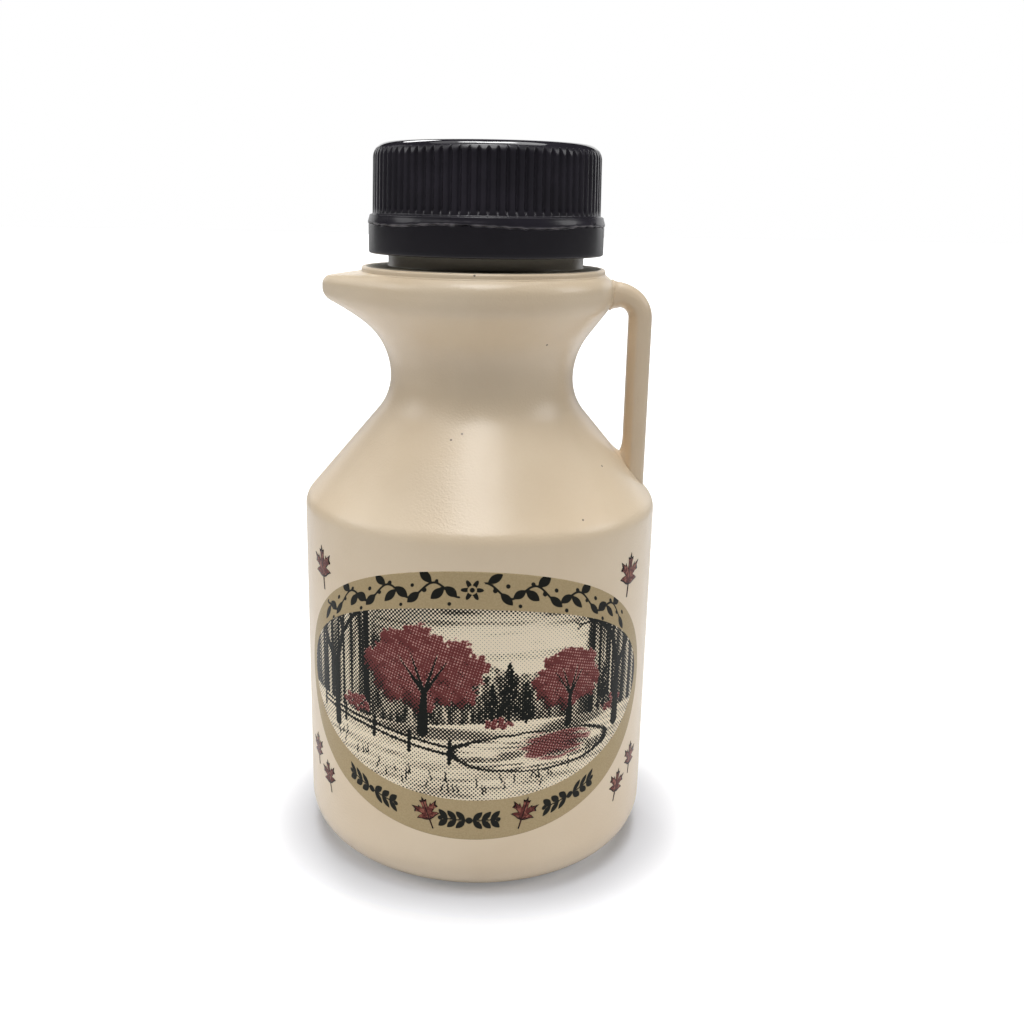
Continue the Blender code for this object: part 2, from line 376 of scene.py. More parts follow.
@dataclass(frozen=True)
class PrintedPlastic(CreamPlastic):
    """The oval print: a tan band with a dark vine on it, round a picture in dots of two inks.

    The piece's `place` attribute holds millimetres across and up from the middle of the oval, and
    its `inks` attribute holds the tone of the dark ink, the tone of the red ink and the distance
    in millimetres to the nearest line of the vine.
    """

    sheen: float = 0.12
    tan: Colour = srgb(190, 170, 132)
    tan_shade: Colour = srgb(177, 156, 118)
    paper: Colour = srgb(252, 237, 210)
    dark: Colour = srgb(19, 22, 18)
    red: Colour = srgb(112, 55, 53)
    red_light: Colour = srgb(200, 146, 138)
    fibre_scale: float = 3.2
    tint_scale: float = 0.35
    dot_pitch: float = 0.5
    dark_turn: float = np.pi / 4
    dark_gain: float = 1.28
    red_turn: float = np.pi / 4 + 0.5
    red_gain: float = 1.2

    def dots(self, graph: Graph, across: Value, up: Value, turn: float) -> Value:
        """A screen of dots: the mean of two cosines at right angles.

        Args:
            graph: the material that the nodes are added to.
            across: millimetres across the oval.
            up: millimetres up the oval.
            turn: angle of the screen in radians.

        Returns:
            The height of the screen, from 0 to 1.
        """
        wave = 2 * np.pi / self.dot_pitch
        cosine, sine = float(np.cos(turn) * wave), float(np.sin(turn) * wave)
        first = (across * cosine + up * sine).cosine()
        second = (up * cosine - across * sine).cosine()
        return (first + second) * 0.25 + 0.5

    def nodes(self, graph: Graph) -> None:
        """Adds the nodes of the printed oval.

        Where a tone, widened a little, is more than the screen's height, there is ink. Red is laid
        on the paper first and the dark ink over it.

        Args:
            graph: the material that the nodes are added to.
        """
        _, roughness, height = self.ground(graph)
        place = graph.attribute("place")
        across, up, _ = graph.split(place)
        dark_tone, red_tone, vine = graph.split(graph.attribute("inks"))
        fibre = graph.noise(place, self.fibre_scale, 2.0)
        tint = graph.noise(place, self.tint_scale, 2.0)
        outwards = (across / PICTURE_HALF[0]) ** 2 + ((up - PICTURE_RISE) / PICTURE_HALF[1]) ** 2
        inside = outwards.ramp(0.985, 1.0, 1.0, 0.0)
        dark_screen = self.dots(graph, across, up, self.dark_turn)
        red_screen = self.dots(graph, across, up, self.red_turn)
        dark_ink = (dark_tone * self.dark_gain - dark_screen - 0.02).ramp(-0.1, 0.1)
        red_ink = (red_tone * self.red_gain - red_screen * 0.9 - 0.1).ramp(-0.15, 0.15)
        picture = graph.mix((red_tone - 0.1).ramp(0.0, 0.3), self.paper, self.red_light)
        picture = graph.mix(red_ink, picture, self.red)
        picture = graph.mix(dark_ink, picture, self.dark)
        band = graph.mix(fibre.ramp(0.35, 0.65) * 0.6 + tint * 0.4, self.tan, self.tan_shade)
        band = graph.mix(vine.ramp(-0.07, 0.07, 0.99, 0.0), band, self.dark)
        colour = graph.mix(inside, band, picture)
        graph.finish(colour, roughness, height, {"IOR": 1.5, "Specular IOR Level": self.sheen})


@dataclass(frozen=True)
class LeafInk(CreamPlastic):
    """Maroon ink in the shape of a leaf, with a dark outline and dark veins.

    The piece's `leaf` attribute holds the share of the way from the middle to the edge and the
    distance in millimetres to the nearest vein.
    """

    ink: Colour = srgb(98, 47, 42)
    ink_light: Colour = srgb(156, 98, 82)
    line: Colour = srgb(18, 7, 4)
    mottle_scale: float = 1500.0
    vein_half: float = 0.04
    vein_fade: float = 0.16
    sheen: float = 0.12

    def nodes(self, graph: Graph) -> None:
        """Adds the nodes of a printed leaf.

        Args:
            graph: the material that the nodes are added to.
        """
        _, roughness, height = self.ground(graph)
        share, vein, _ = graph.split(graph.attribute("leaf"))
        mottle = graph.noise(graph.place(), self.mottle_scale, 2.0)
        colour = graph.mix(mottle.ramp(0.46, 0.66), self.ink, self.ink_light)
        colour = graph.mix(share.ramp(0.78, 0.92), colour, self.line)
        colour = graph.mix(vein.ramp(self.vein_half, self.vein_fade, 0.9, 0.0), colour, self.line)
        graph.finish(colour, roughness, height, {"IOR": 1.5, "Specular IOR Level": self.sheen})


@dataclass(frozen=True)
class BlackPlastic(Finish):
    """Black polypropylene: satin below, glossy on the cap's top edge, pale where it was torn.

    The first part of the piece's `torn` attribute says how pale a torn edge is, and is 0 elsewhere.
    """

    colour: Colour = srgb(42, 40, 46)
    haze: Colour = srgb(52, 49, 57)
    torn: Colour = srgb(150, 146, 150)
    cloud_scale: float = 130.0
    cloud_height: float = 0.00002
    streak_scale: float = 900.0
    streak_stretch: Place = (1.0, 1.0, 0.12)
    streak_height: float = 0.000012
    roughness: float = 0.24
    roughness_spread: float = 0.05
    sheen: float = 0.4
    gloss_roughness: float = 0.07
    coat: float = 0.6
    gloss_start: float = 0.1256
    gloss_end: float = 0.1260

    def nodes(self, graph: Graph) -> None:
        """Adds the nodes of the cap or of the band.

        Args:
            graph: the material that the nodes are added to.
        """
        place = graph.place()
        _, _, up = graph.split(place)
        streak = graph.noise(graph.stretch(place, self.streak_stretch), self.streak_scale, 2.0)
        cloud = graph.noise(place, self.cloud_scale, 3.0)
        torn, _, _ = graph.split(graph.attribute("torn"))
        colour = graph.mix(cloud.ramp(0.4, 0.75) * 0.7, self.colour, self.haze)
        colour = graph.mix(torn, colour, self.torn)
        gloss = up.ramp(self.gloss_start, self.gloss_end)
        satin = cloud * self.roughness_spread + (self.roughness - self.roughness_spread / 2)
        roughness = satin - gloss * (self.roughness - self.gloss_roughness)
        height = streak * self.streak_height * (1 - gloss) + cloud * self.cloud_height
        sheen = {"IOR": 1.49, "Specular IOR Level": self.sheen}
        coat = {"Coat Weight": gloss * self.coat, "Coat Roughness": self.gloss_roughness}
        graph.finish(colour, roughness, height, sheen | coat)


@dataclass(frozen=True)
class StudioFloor(Finish):
    """A matt pale sweep with a faint mottle, with light and shade painted on.

    Its far parts are painted dark, a painted shade that the jug mirrors, and near the foot it is painted
    darker, a painted shadow. To the camera alone it glows as well, which is painted light: away from
    the jug it is burnt out to white, the darkest line at the foot is lifted, and the far painted shade
    is hidden.
    """

    colour: Colour = (0.85, 0.85, 0.86)
    # painted shade: from shade_start out, round shade_middle, the floor takes this dark colour, which the
    # jug mirrors as a dark surround
    shade: Colour = (0.34, 0.34, 0.34)
    # painted shadow: near the jug the floor takes this darker colour, which fades to the plain one between
    # near_start and near_end
    near: Colour = (0.675, 0.69, 0.73)
    near_start: float = 0.028
    near_end: float = 0.055
    shade_middle: Place = (0.0, 0.1, 0.0)
    shade_start: float = 0.21
    shade_end: float = 0.3
    # painted light: glow that only the camera sees, which burns the floor out to white between glow_start
    # and glow_end
    glow: float = 0.4
    glow_middle: Place = (0.001, 0.0, 0.0)
    glow_stretch: Place = (0.86, 1.0, 1.0)
    glow_start: float = 0.0285
    glow_end: float = 0.043
    # painted light: more camera-only glow at the foot's edge, which lifts the darkest line of the contact
    # shadow
    contact: float = 0.2
    contact_start: float = 0.028
    contact_end: float = 0.031
    # painted light: camera-only glow over the far painted shade
    far_glow: float = 0.55
    mottle_scale: float = 12.0
    mottle_height: float = 0.00002
    roughness: float = 0.7

    def nodes(self, graph: Graph) -> None:
        """Adds the nodes of the floor.

        Args:
            graph: the material that the nodes are added to.
        """
        place = graph.place()
        mottle = graph.noise(place, self.mottle_scale, 3.0)
        # painted shade: mask of the far floor, which is painted dark
        painted_far_shade = graph.distance(place, self.shade_middle).ramp(self.shade_start, self.shade_end)
        away = graph.distance(place, (0.0, 0.0, 0.0))
        burnt_away = graph.distance(graph.stretch(place, self.glow_stretch), self.glow_middle)
        # painted shadow: darker colour near the jug
        colour = graph.mix(away.ramp(self.near_start, self.near_end), self.near, self.colour)
        colour = graph.mix(painted_far_shade, colour, self.shade)
        # painted light: the floor glows for camera rays only, away from the jug, at the foot's edge and
        # over the far painted shade
        seen = Value(graph, graph.node("LightPath").outputs["Is Camera Ray"])
        burnt = burnt_away.ramp(self.glow_start, self.glow_end) * self.glow
        burnt = burnt + away.ramp(self.contact_start, self.contact_end, self.contact, 0.0)
        burnt = (burnt + painted_far_shade * self.far_glow) * seen
        light = {"Specular IOR Level": 0.1, "Emission Color": burnt, "Emission Strength": 1.0}
        graph.finish(colour, self.roughness, mottle * self.mottle_height, light)


# Meshes


def arc(centre: Point, radius: float, start: float, end: float, count: int) -> Array:
    """Points (r, z) on a circle: its centre plus its radius times the cosine and sine of each angle.

    Args:
        centre: the circle's centre.
        radius: its radius.
        start: first angle in degrees.
        end: last angle in degrees.
        count: number of points.

    Returns:
        An array of the points, one in each row.
    """
    angles = np.radians(np.linspace(start, end, count))
    return np.column_stack((centre[0] + radius * np.cos(angles), centre[1] + radius * np.sin(angles)))


def line(start: Point, end: Point, count: int) -> Array:
    """Points evenly spread on a straight line."""
    return np.linspace(start, end, count)


def evenly(points: Array, count: int) -> Array:
    """The same line cut again at equal lengths, found by interpolation on the length run so far.

    Args:
        points: the line's points (r, z).
        count: number of points that it gets.

    Returns:
        The new points.
    """
    steps = np.hypot(*np.diff(points, axis=0).T)
    run = np.concatenate(([0.0], np.cumsum(steps)))
    targets = np.linspace(0.0, run[-1], count)
    return np.column_stack([np.interp(targets, run, points[:, k]) for k in range(2)])


def step(value: Array, start: float, end: float) -> Array:
    """A smooth step: 3t squared less 2t cubed, where t goes from 0 at the start to 1 at the end."""
    t = np.clip((value - start) / (end - start), 0.0, 1.0)
    return t * t * (3 - 2 * t)


def waves(angles: Array, lowest: int, highest: int, seed: int) -> Array:
    """Noise round a ring: sine waves with whole numbers of turns and drawn phases.

    Their sum is divided by the root of their number, so that the noise has the same size whatever
    that number is.

    Args:
        angles: places round the ring in radians.
        lowest: turns of the longest wave.
        highest: turns of the shortest wave.
        seed: seed of the draw.

    Returns:
        The noise at each place.
    """
    numbers = np.arange(lowest, highest + 1)
    phases = np.random.default_rng(seed).uniform(0, 2 * np.pi, len(numbers))
    total = np.sin(angles[..., None] * numbers + phases).sum(axis=-1)
    return total / np.sqrt(len(numbers))


def ring_faces(rows: int, columns: int, closed: bool = False) -> Array:
    """Corner numbers of the quads between rings of points, each ring following the last.

    Args:
        rows: number of rings.
        columns: number of points in a ring.
        closed: whether the last ring joins the first.

    Returns:
        An array with the four corners of a face in each row.
    """
    lower = np.arange(rows if closed else rows - 1)[:, None] * columns
    upper = (lower + columns) % (rows * columns)
    here = np.arange(columns)[None, :]
    after = (here + 1) % columns
    return np.stack((lower + here, lower + after, upper + after, upper + here), axis=-1).reshape(-1, 4)


def caps(rows: int, columns: int, first: int, last: int) -> Array:
    """Corner numbers of the triangles that close the first and the last ring.

    Args:
        rows: number of rings.
        columns: number of points in a ring.
        first: number of the point in the middle of the first ring.
        last: number of the point in the middle of the last ring.

    Returns:
        An array with the three corners of a face in each row.
    """
    here = np.arange(columns)
    after = (here + 1) % columns
    top = (rows - 1) * columns
    start = np.column_stack((np.full(columns, first), after, here))
    end = np.column_stack((top + here, top + after, np.full(columns, last)))
    return np.concatenate((start, end))


def grid_normals(points: Array) -> Array:
    """Unit normals of a grid of rings: the cross product of the steps round and up at each point.

    Args:
        points: the rings, as an array of rows, columns and parts.

    Returns:
        The normals in the same layout.
    """
    round_step = np.roll(points, -1, axis=1) - np.roll(points, 1, axis=1)
    up_step = np.gradient(points, axis=0)
    normals = np.cross(round_step, up_step)
    return normals / np.maximum(np.linalg.norm(normals, axis=-1, keepdims=True), 1e-9)


def blend_lift(gap: Array, reach: Array | float) -> Array:
    """How far points move out so that two surfaces meet in one smooth curve.

    The lift is the square of the root of the reach less the root of the gap, and nothing beyond the
    reach. Under a fifth of the reach it falls away to nothing, which hides the point in the other
    surface.

    Args:
        gap: distance of each point from the other surface, below 0 inside it.
        reach: how far from the other surface the blend starts.

    Returns:
        The lift of each point.
    """
    held = np.maximum(gap, 0.2 * reach)
    lift = (np.sqrt(reach) - np.sqrt(np.minimum(held, reach))) ** 2
    return lift * np.clip(gap / (0.2 * reach), 0.0, 1.0)


def add_piece(
    name: str,
    points: Array,
    faces: tuple[Array, ...],
    material: bpy.types.Material,
    slot: Slot | None,
    attributes: dict[str, Array] | None = None,
) -> bpy.types.Object:
    """Makes one object from arrays and gives it its place in the frame.

    Args:
        name: the piece's name.
        points: the points in millimetres.
        faces: arrays of corner numbers, one for each number of corners.
        material: the piece's material.
        slot: None for a piece of the studio, which is left unattached; any other value attaches the piece
            to the root body.
        attributes: vectors stored at the points.

    Returns:
        The object, at the origin.
    """
    mesh = bpy.data.meshes.new(name)
    corners = np.concatenate([part.ravel() for part in faces]).astype(np.int32)
    sizes = np.concatenate([np.full(len(part), part.shape[1]) for part in faces])
    starts = np.concatenate(([0], np.cumsum(sizes)[:-1])).astype(np.int32)
    mesh.vertices.add(len(points))
    mesh.vertices.foreach_set("co", (points * MM).astype(np.float32).ravel())
    mesh.loops.add(len(corners))
    mesh.loops.foreach_set("vertex_index", corners)
    mesh.polygons.add(len(sizes))
    mesh.polygons.foreach_set("loop_start", starts)
    mesh.update(calc_edges=True)
    mesh.validate()
    mesh.shade_smooth()
    for key, values in (attributes or {}).items():
        stored = mesh.attributes.new(key, "FLOAT_VECTOR", "POINT")
        stored.data.foreach_set("vector", values.astype(np.float32).ravel())
    mesh.materials.append(material)
    piece = bpy.data.objects.new(name, mesh)
    bpy.context.scene.collection.objects.link(piece)
    if slot is None:
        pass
    else:
        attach(piece, "root")
    log.info("%s: %d points, %d faces", name, len(points), len(sizes))
    return piece


def revolve(
    name: str,
    grid: Array,
    material: bpy.types.Material,
    slot: Slot,
    attributes: dict[str, Array] | None = None,
) -> bpy.types.Object:
    """A closed solid from rings of points, with a pole in the middle of the first and the last ring.

    Args:
        name: the piece's name.
        grid: the rings, in millimetres.
        material: the piece's material.
        slot: passed on to add_piece, which attaches the piece to the root body unless it is None.
        attributes: vectors stored at the points, the two poles last.

    Returns:
        The object.
    """
    rows, columns, _ = grid.shape
    poles = np.stack((grid[0].mean(axis=0), grid[-1].mean(axis=0)))
    points = np.concatenate((grid.reshape(-1, 3), poles))
    count = rows * columns
    faces = (ring_faces(rows, columns), caps(rows, columns, count, count + 1))
    return add_piece(name, points, faces, material, slot, attributes)


# The jug


@dataclass
class Handle:
    """The loop handle, a flattened bar with a ridge along each side.

    A field with two values gives where a smooth step starts and ends: the growth of the root along
    X, the two bounds of the inner side's middle, and the change to the upper root along Z.
    """

    outside: float = 29.98
    inside: float = 25.95
    corner_x: float = 23.85
    corner_z: float = 97.6
    start_x: float = 19.0
    end_z: float = 64.0
    half_depth: float = 2.9
    corners: tuple[Point, ...] = (
        (1.0, 0.42),
        (0.72, 0.76),
        (0.2, 0.94),
        (-0.35, 1.0),
        (-0.72, 0.74),
        (-1.0, 0.36),
    )
    rounding: float = 0.28
    points_round: int = 96
    root_growth: float = 0.24
    root_x: Point = (26.0, 21.5)
    inner_half_depth: Point = (2.5, 1.1)
    inner_x: Point = (27.6, 26.4)
    upper_z: Point = (84.0, 92.0)
    upper_blend: float = 1.0
    side_blend: float = 0.45
    inner_blend: float = 2.6

    @property
    def radius(self) -> float:
        """Radius of the upper corner along the middle of the bar."""
        return (self.outside + self.inside) / 2 - self.corner_x

    def outline(self) -> Array:
        """Corners of the section, anticlockwise, as places across the bar and along Y."""
        side = np.array(self.corners) * ((self.outside - self.inside) / 2, self.half_depth)
        return np.concatenate((side, side[::-1] * (1, -1)))

    def section(self) -> Array:
        """The section with rounded corners.

        Its outline is cut evenly, then averaged along its length with weights that fall off as a bell
        curve, by a product of Fourier transforms.

        Returns:
            The points of the ring, as places across the bar and along Y.
        """
        outline = self.outline()
        ring = evenly(np.concatenate((outline, outline[:1])), self.points_round + 1)[:-1]
        length = np.hypot(*(np.roll(ring, -1, axis=0) - ring).T).sum()
        places = np.arange(self.points_round)
        away = np.minimum(places, self.points_round - places) * length / self.points_round
        weights = np.exp(-0.5 * (away / self.rounding) ** 2)
        spectrum = np.fft.fft(ring, axis=0) * np.fft.fft(weights / weights.sum())[:, None]
        return np.fft.ifft(spectrum, axis=0).real

    def gap(self, points: Array) -> Array:
        """Distance of points from the bar: the most of their distances past each side of the outline,
        at a place across the bar that is measured from its middle line.

        Args:
            points: the points in millimetres.

        Returns:
            The distances, below 0 inside the bar.
        """
        x, y, z = points[..., 0], points[..., 1], points[..., 2]
        right, above = x - self.corner_x, z - self.corner_z
        past = np.where((right > 0) & (above > 0), np.hypot(right, above), np.maximum(right, above))
        outline = self.outline()
        edges = np.roll(outline, -1, axis=0) - outline
        normals = np.column_stack((edges[:, 1], -edges[:, 0])) / np.hypot(*edges.T)[:, None]
        place = np.stack((past - self.radius, y), axis=-1)
        return (place @ normals.T - (outline * normals).sum(axis=1)).max(axis=-1)

    def grid(self) -> Array:
        """Rings of the section, square to a path that runs along X, round the corner and down.

        Returns:
            The rings in millimetres, as an array of rows, columns and parts.
        """
        section = self.section()[::-1]
        top = self.corner_z + self.radius
        runs = np.linspace(self.start_x, self.corner_x, 22)[:-1]
        turns = np.radians(np.linspace(90, 0, 29))
        falls = np.linspace(self.corner_z, self.end_z, 96)[1:]
        corner_x = self.corner_x + self.radius * np.cos(turns)
        corner_z = self.corner_z + self.radius * np.sin(turns)
        x = np.concatenate((runs, corner_x, np.full(len(falls), corner_x[-1])))
        z = np.concatenate((np.full(len(runs), top), corner_z, falls))
        turn = np.concatenate((np.full(len(runs), np.pi / 2), turns, np.zeros(len(falls))))
        growth = self.root_growth * step(x, *self.root_x)
        across = section[None, :, 0] * (1 + growth)[:, None]
        x = x[:, None] + across * np.cos(turn)[:, None]
        z = z[:, None] + across * np.sin(turn)[:, None]
        return np.stack((x, np.broadcast_to(section[:, 1], x.shape), z), axis=-1)

    def reach(self, points: Array) -> Array:
        """Reach of the blend with the jug: small all round the lower root but for the middle of its
        inner side, where it fills the tip of the gap.

        Args:
            points: the points in millimetres.

        Returns:
            The reach at each point.
        """
        x, y, z = points[..., 0], points[..., 1], points[..., 2]
        inner = step(np.abs(y), *self.inner_half_depth) * step(x, *self.inner_x)
        lower = self.side_blend + (self.inner_blend - self.side_blend) * inner
        return lower + (self.upper_blend - lower) * step(z, *self.upper_z)

    def build(self, jug: "Jug", material: bpy.types.Material) -> bpy.types.Object:
        """Makes the handle, drawn out where it meets the jug.

        Args:
            jug: the jug that it grows from.
            material: the handle's material.

        Returns:
            The object.
        """
        grid = self.grid()
        lift = blend_lift(jug.gap(grid), self.reach(grid))
        grid = grid + grid_normals(grid) * lift[..., None]
        return revolve("loop_handle", grid, material, Slot.JUG)


@dataclass
class Jug:
    """The moulded jug: foot, wall, cone, waist, flared rim with its pouring lip, collar and neck."""

    body_radius: float = WALL_RADIUS
    foot_curve: float = 7.6
    recess_depth: float = 1.2
    recess_radius: float = 18.0
    ring_inside: float = 20.5
    shoulder_curve: float = 3.8
    cone_angle: float = 40.3
    waist_radius: float = 16.4
    waist_height: float = 87.1
    waist_lower_curve: float = 9.8
    waist_upper_curve: float = 13.0
    flare_angle: float = 37.0
    rim_radius: float = 23.0
    rim_lower_curve: float = 5.6
    rim_upper_curve: float = 2.8
    rim_upper_centre: float = 102.6
    rim_top: float = 105.2
    lip_reach: float = 28.6
    lip_under_curve: float = 12.1
    lip_under_angle: float = 65.0
    nose_lower_curve: float = 2.3
    nose_upper_curve: float = 1.6
    nose_lower_centre: float = 102.1
    nose_upper_centre: float = 102.75
    nose_upper_angle: float = 80.0
    lip_spread: float = 48.0
    lip_tip_rounding: float = 3.0
    lip_side_hollow: float = 2.2
    collar_radius: float = 21.4
    collar_top: float = 106.15
    collar_edge: float = 0.4
    collar_fillet: float = 0.12
    neck_radius: float = 17.1
    neck_top: float = 124.6
    neck_fillet: float = 0.3
    neck_rounding: float = 0.6
    pinch_height: float = 0.45
    pinch_half: float = 0.45
    pinch_ends: Point = (15.5, 13.5)
    handle_side: float = 15.0
    rim_rows: tuple[int, int, int] = (40, 34, 6)
    columns: int = 360
    flecks: tuple[Place, ...] = (
        (11.22, -14.9, 94.4),
        (17.74, -24.59, 67.08),
        (21.4, -12.68, 73.51),
        (-4.34, -19.77, 78.97),
        (-2.54, -19.26, 79.92),
        (-0.75, -21.39, 105.9),
    )

    def lower_profile(self) -> Array:
        """Outline from near the middle of the base up to the waist.

        The wall turns into the cone by an arc, whose centre is found from the line of the cone. The
        step from the recess down to the standing ring is half a cosine wave.

        Returns:
            The outline, as radius and height.
        """
        slope = np.radians(self.cone_angle)
        waist_curve = self.waist_lower_curve
        waist_centre = (self.waist_radius + waist_curve, self.waist_height)
        waist = arc(waist_centre, waist_curve, 180 + self.cone_angle, 180, 18)
        shoulder_r = self.body_radius - self.shoulder_curve
        run = (waist[0, 0] - shoulder_r) * np.cos(slope)
        shoulder_z = waist[0, 1] - (self.shoulder_curve - run) / np.sin(slope)
        shoulder = arc((shoulder_r, shoulder_z), self.shoulder_curve, 0, self.cone_angle, 12)
        foot = arc((self.body_radius - self.foot_curve, self.foot_curve), self.foot_curve, -90, 0, 20)
        recess = line((0.6, self.recess_depth), (self.recess_radius, self.recess_depth), 26)
        t = np.linspace(0, 1, 8)[1:]
        bevel_r = self.recess_radius + (self.ring_inside - self.recess_radius) * t
        bevel = np.column_stack((bevel_r, self.recess_depth * (1 + np.cos(np.pi * t)) / 2))
        ring = line((self.ring_inside, 0), tuple(foot[0]), 4)[1:-1]
        wall = line(tuple(foot[-1]), tuple(shoulder[0]), 36)[1:-1]
        cone = line(tuple(shoulder[-1]), tuple(waist[0]), 42)[1:-1]
        return np.concatenate((recess, bevel, ring, foot, wall, shoulder, cone, waist))

    def rim_profile(self) -> tuple[Array, Array, Array]:
        """The flared mouth away from the lip.

        Returns:
            Its under side, its rounded rim and its top, as radius and height.
        """
        slope = np.radians(self.flare_angle)
        waist_curve = self.waist_upper_curve
        waist_centre = (self.waist_radius + waist_curve, self.waist_height)
        flare = arc(waist_centre, waist_curve, 180, 180 - self.flare_angle, 40)
        rim_r = self.rim_radius - self.rim_lower_curve
        run = (flare[-1, 0] - rim_r) * np.cos(slope)
        rim_z = flare[-1, 1] + (self.rim_lower_curve - run) / np.sin(slope)
        lower = arc((rim_r, rim_z), self.rim_lower_curve, -self.flare_angle, 0, 20)
        upper_r = self.rim_radius - self.rim_upper_curve
        end = np.degrees(np.arccos((self.collar_radius - upper_r + 0.16) / self.rim_upper_curve))
        upper = arc((upper_r, self.rim_upper_centre), self.rim_upper_curve, 0, end, 24)
        top = np.stack((upper[-1], (self.collar_radius + self.collar_fillet, self.rim_top)))
        return np.concatenate((flare, lower[:1])), np.concatenate((lower, upper)), top

    def lip_profile(self) -> tuple[Array, Array, Array]:
        """The mouth's outline through the tip of the pouring lip.

        Returns:
            Its under side, its rounded nose and its top, as radius and height.
        """
        waist_centre = (self.waist_radius + self.lip_under_curve, self.waist_height)
        lower_centre = (self.lip_reach - self.nose_lower_curve, self.nose_lower_centre)
        upper_centre = (self.lip_reach - self.nose_upper_curve, self.nose_upper_centre)
        under = arc(waist_centre, self.lip_under_curve, 180, 180 - self.lip_under_angle, 40)
        lower = arc(lower_centre, self.nose_lower_curve, -self.lip_under_angle, 0, 20)
        upper = arc(upper_centre, self.nose_upper_curve, 0, self.nose_upper_angle, 24)
        top = np.stack((upper[-1], (self.collar_radius + self.collar_fillet, self.rim_top)))
        return np.concatenate((under, lower[:1])), np.concatenate((lower, upper)), top

    def lip_share(self, angles: Array) -> Array:
        """How far the rim is drawn out to the lip, from 0 to 1.

        The angle from the lip's axis is rounded near nought by a hypotenuse, divided by the lip's
        spread, taken from one and raised to the power that hollows the sides of the beak.

        Args:
            angles: places round the jug in radians.

        Returns:
            The share at each place.
        """
        away = np.abs(np.degrees(np.arctan2(np.sin(angles - np.pi), np.cos(angles - np.pi))))
        rounding = self.lip_tip_rounding
        whole = np.hypot(self.lip_spread, rounding) - rounding
        share = np.clip(1 - (np.hypot(away, rounding) - rounding) / whole, 0, 1)
        return share**self.lip_side_hollow

    def upper_profile(self) -> Array:
        """Outline of the collar and the neck.

        Returns:
            Rows of radius, height and shift along X.
        """
        r, z, c, e = self.collar_radius, self.collar_top, self.collar_edge, self.collar_fillet
        fillet = arc((r + e, self.rim_top + e), e, 270, 180, 7)
        edge = arc((r - c, z - c), c, 0, 90, 8)
        wall = line(tuple(fillet[-1]), tuple(edge[0]), 4)[1:-1]
        collar = np.concatenate((fillet[1:], wall, edge))
        n, f, t = self.neck_radius, self.neck_fillet, self.neck_rounding
        foot = arc((n + f, z + f), f, 270, 180, 5)
        bore = line(tuple(foot[-1]), (n, self.neck_top - t), 8)[1:]
        mouth = arc((n - t, self.neck_top - t), t, 0, 90, 5)[1:]
        neck = np.concatenate((foot, bore, mouth))
        rows = np.concatenate((collar, neck))
        shift = np.where(np.arange(len(rows)) < len(collar), 0.0, NECK_SHIFT)
        return np.column_stack((rows, shift))

    def outline(self) -> Array:
        """The outline away from the lip from the foot to the rim, for measuring distances."""
        lower = self.lower_profile()
        return np.concatenate((lower[lower[:, 0].argmax() :], *self.rim_profile()))

    def gap(self, points: Array) -> Array:
        """Distance of points from the jug's outline, with a minus inside it.

        Each point is set against every stretch of the outline in the plane through the axis: its
        place along the stretch is held between the ends, and the least distance is kept.

        Args:
            points: the points in millimetres.

        Returns:
            The distances.
        """
        outline = self.outline()
        radii = np.hypot(points[..., 0], points[..., 1])
        place = np.stack((radii, points[..., 2]), axis=-1).reshape(-1, 2)
        start, along = outline[:-1], np.diff(outline, axis=0)
        offset = place[:, None] - start[None]
        share = np.clip((offset * along).sum(-1) / np.maximum((along**2).sum(-1), 1e-9), 0, 1)
        least = np.linalg.norm(offset - share[..., None] * along, axis=-1).min(axis=1)
        inside = place[:, 0] < np.interp(place[:, 1], *outline[np.argsort(outline[:, 1])].T[::-1])
        return np.where(inside, -least, least).reshape(points.shape[:-1])

    def grid(self) -> Array:
        """Rings of points from the base to the top of the neck.

        A point of the rim is the plain profile plus its share of the way to the lip's profile.

        Returns:
            The rings in millimetres, as an array of rows, columns and parts.
        """
        angles = np.linspace(0, 2 * np.pi, self.columns, endpoint=False)
        plain = [self.lower_profile()]
        lip = [plain[0]]
        for first, second, count in zip(self.rim_profile(), self.lip_profile(), self.rim_rows):
            plain.append(evenly(first, count)[1:])
            lip.append(evenly(second, count)[1:])
        upper = self.upper_profile()
        plain, lip = (np.concatenate((*part, upper[:, :2])) for part in (plain, lip))
        shift = np.concatenate((np.zeros(len(plain) - len(upper)), upper[:, 2]))
        share = self.lip_share(angles)[None, :, None]
        rows = plain[:, None] + (lip - plain)[:, None] * share
        x = shift[:, None] + rows[..., 0] * np.cos(angles)
        return np.stack((x, rows[..., 0] * np.sin(angles), rows[..., 1]), axis=-1)

    def pinch(self, grid: Array) -> Array:
        """Height of the pinched seam under the base: a bell curve across Y that fades near its ends.

        Args:
            grid: the rings of the jug.

        Returns:
            The height at each point, which is 0 outside the recess.
        """
        x, y, z = grid[..., 0], grid[..., 1], grid[..., 2]
        ridge = self.pinch_height * np.exp(-((y / self.pinch_half) ** 2))
        inside = (z < self.recess_depth + 0.01) & (np.hypot(x, y) < self.recess_radius)
        return np.where(inside, ridge * step(np.abs(x), *self.pinch_ends), 0.0)

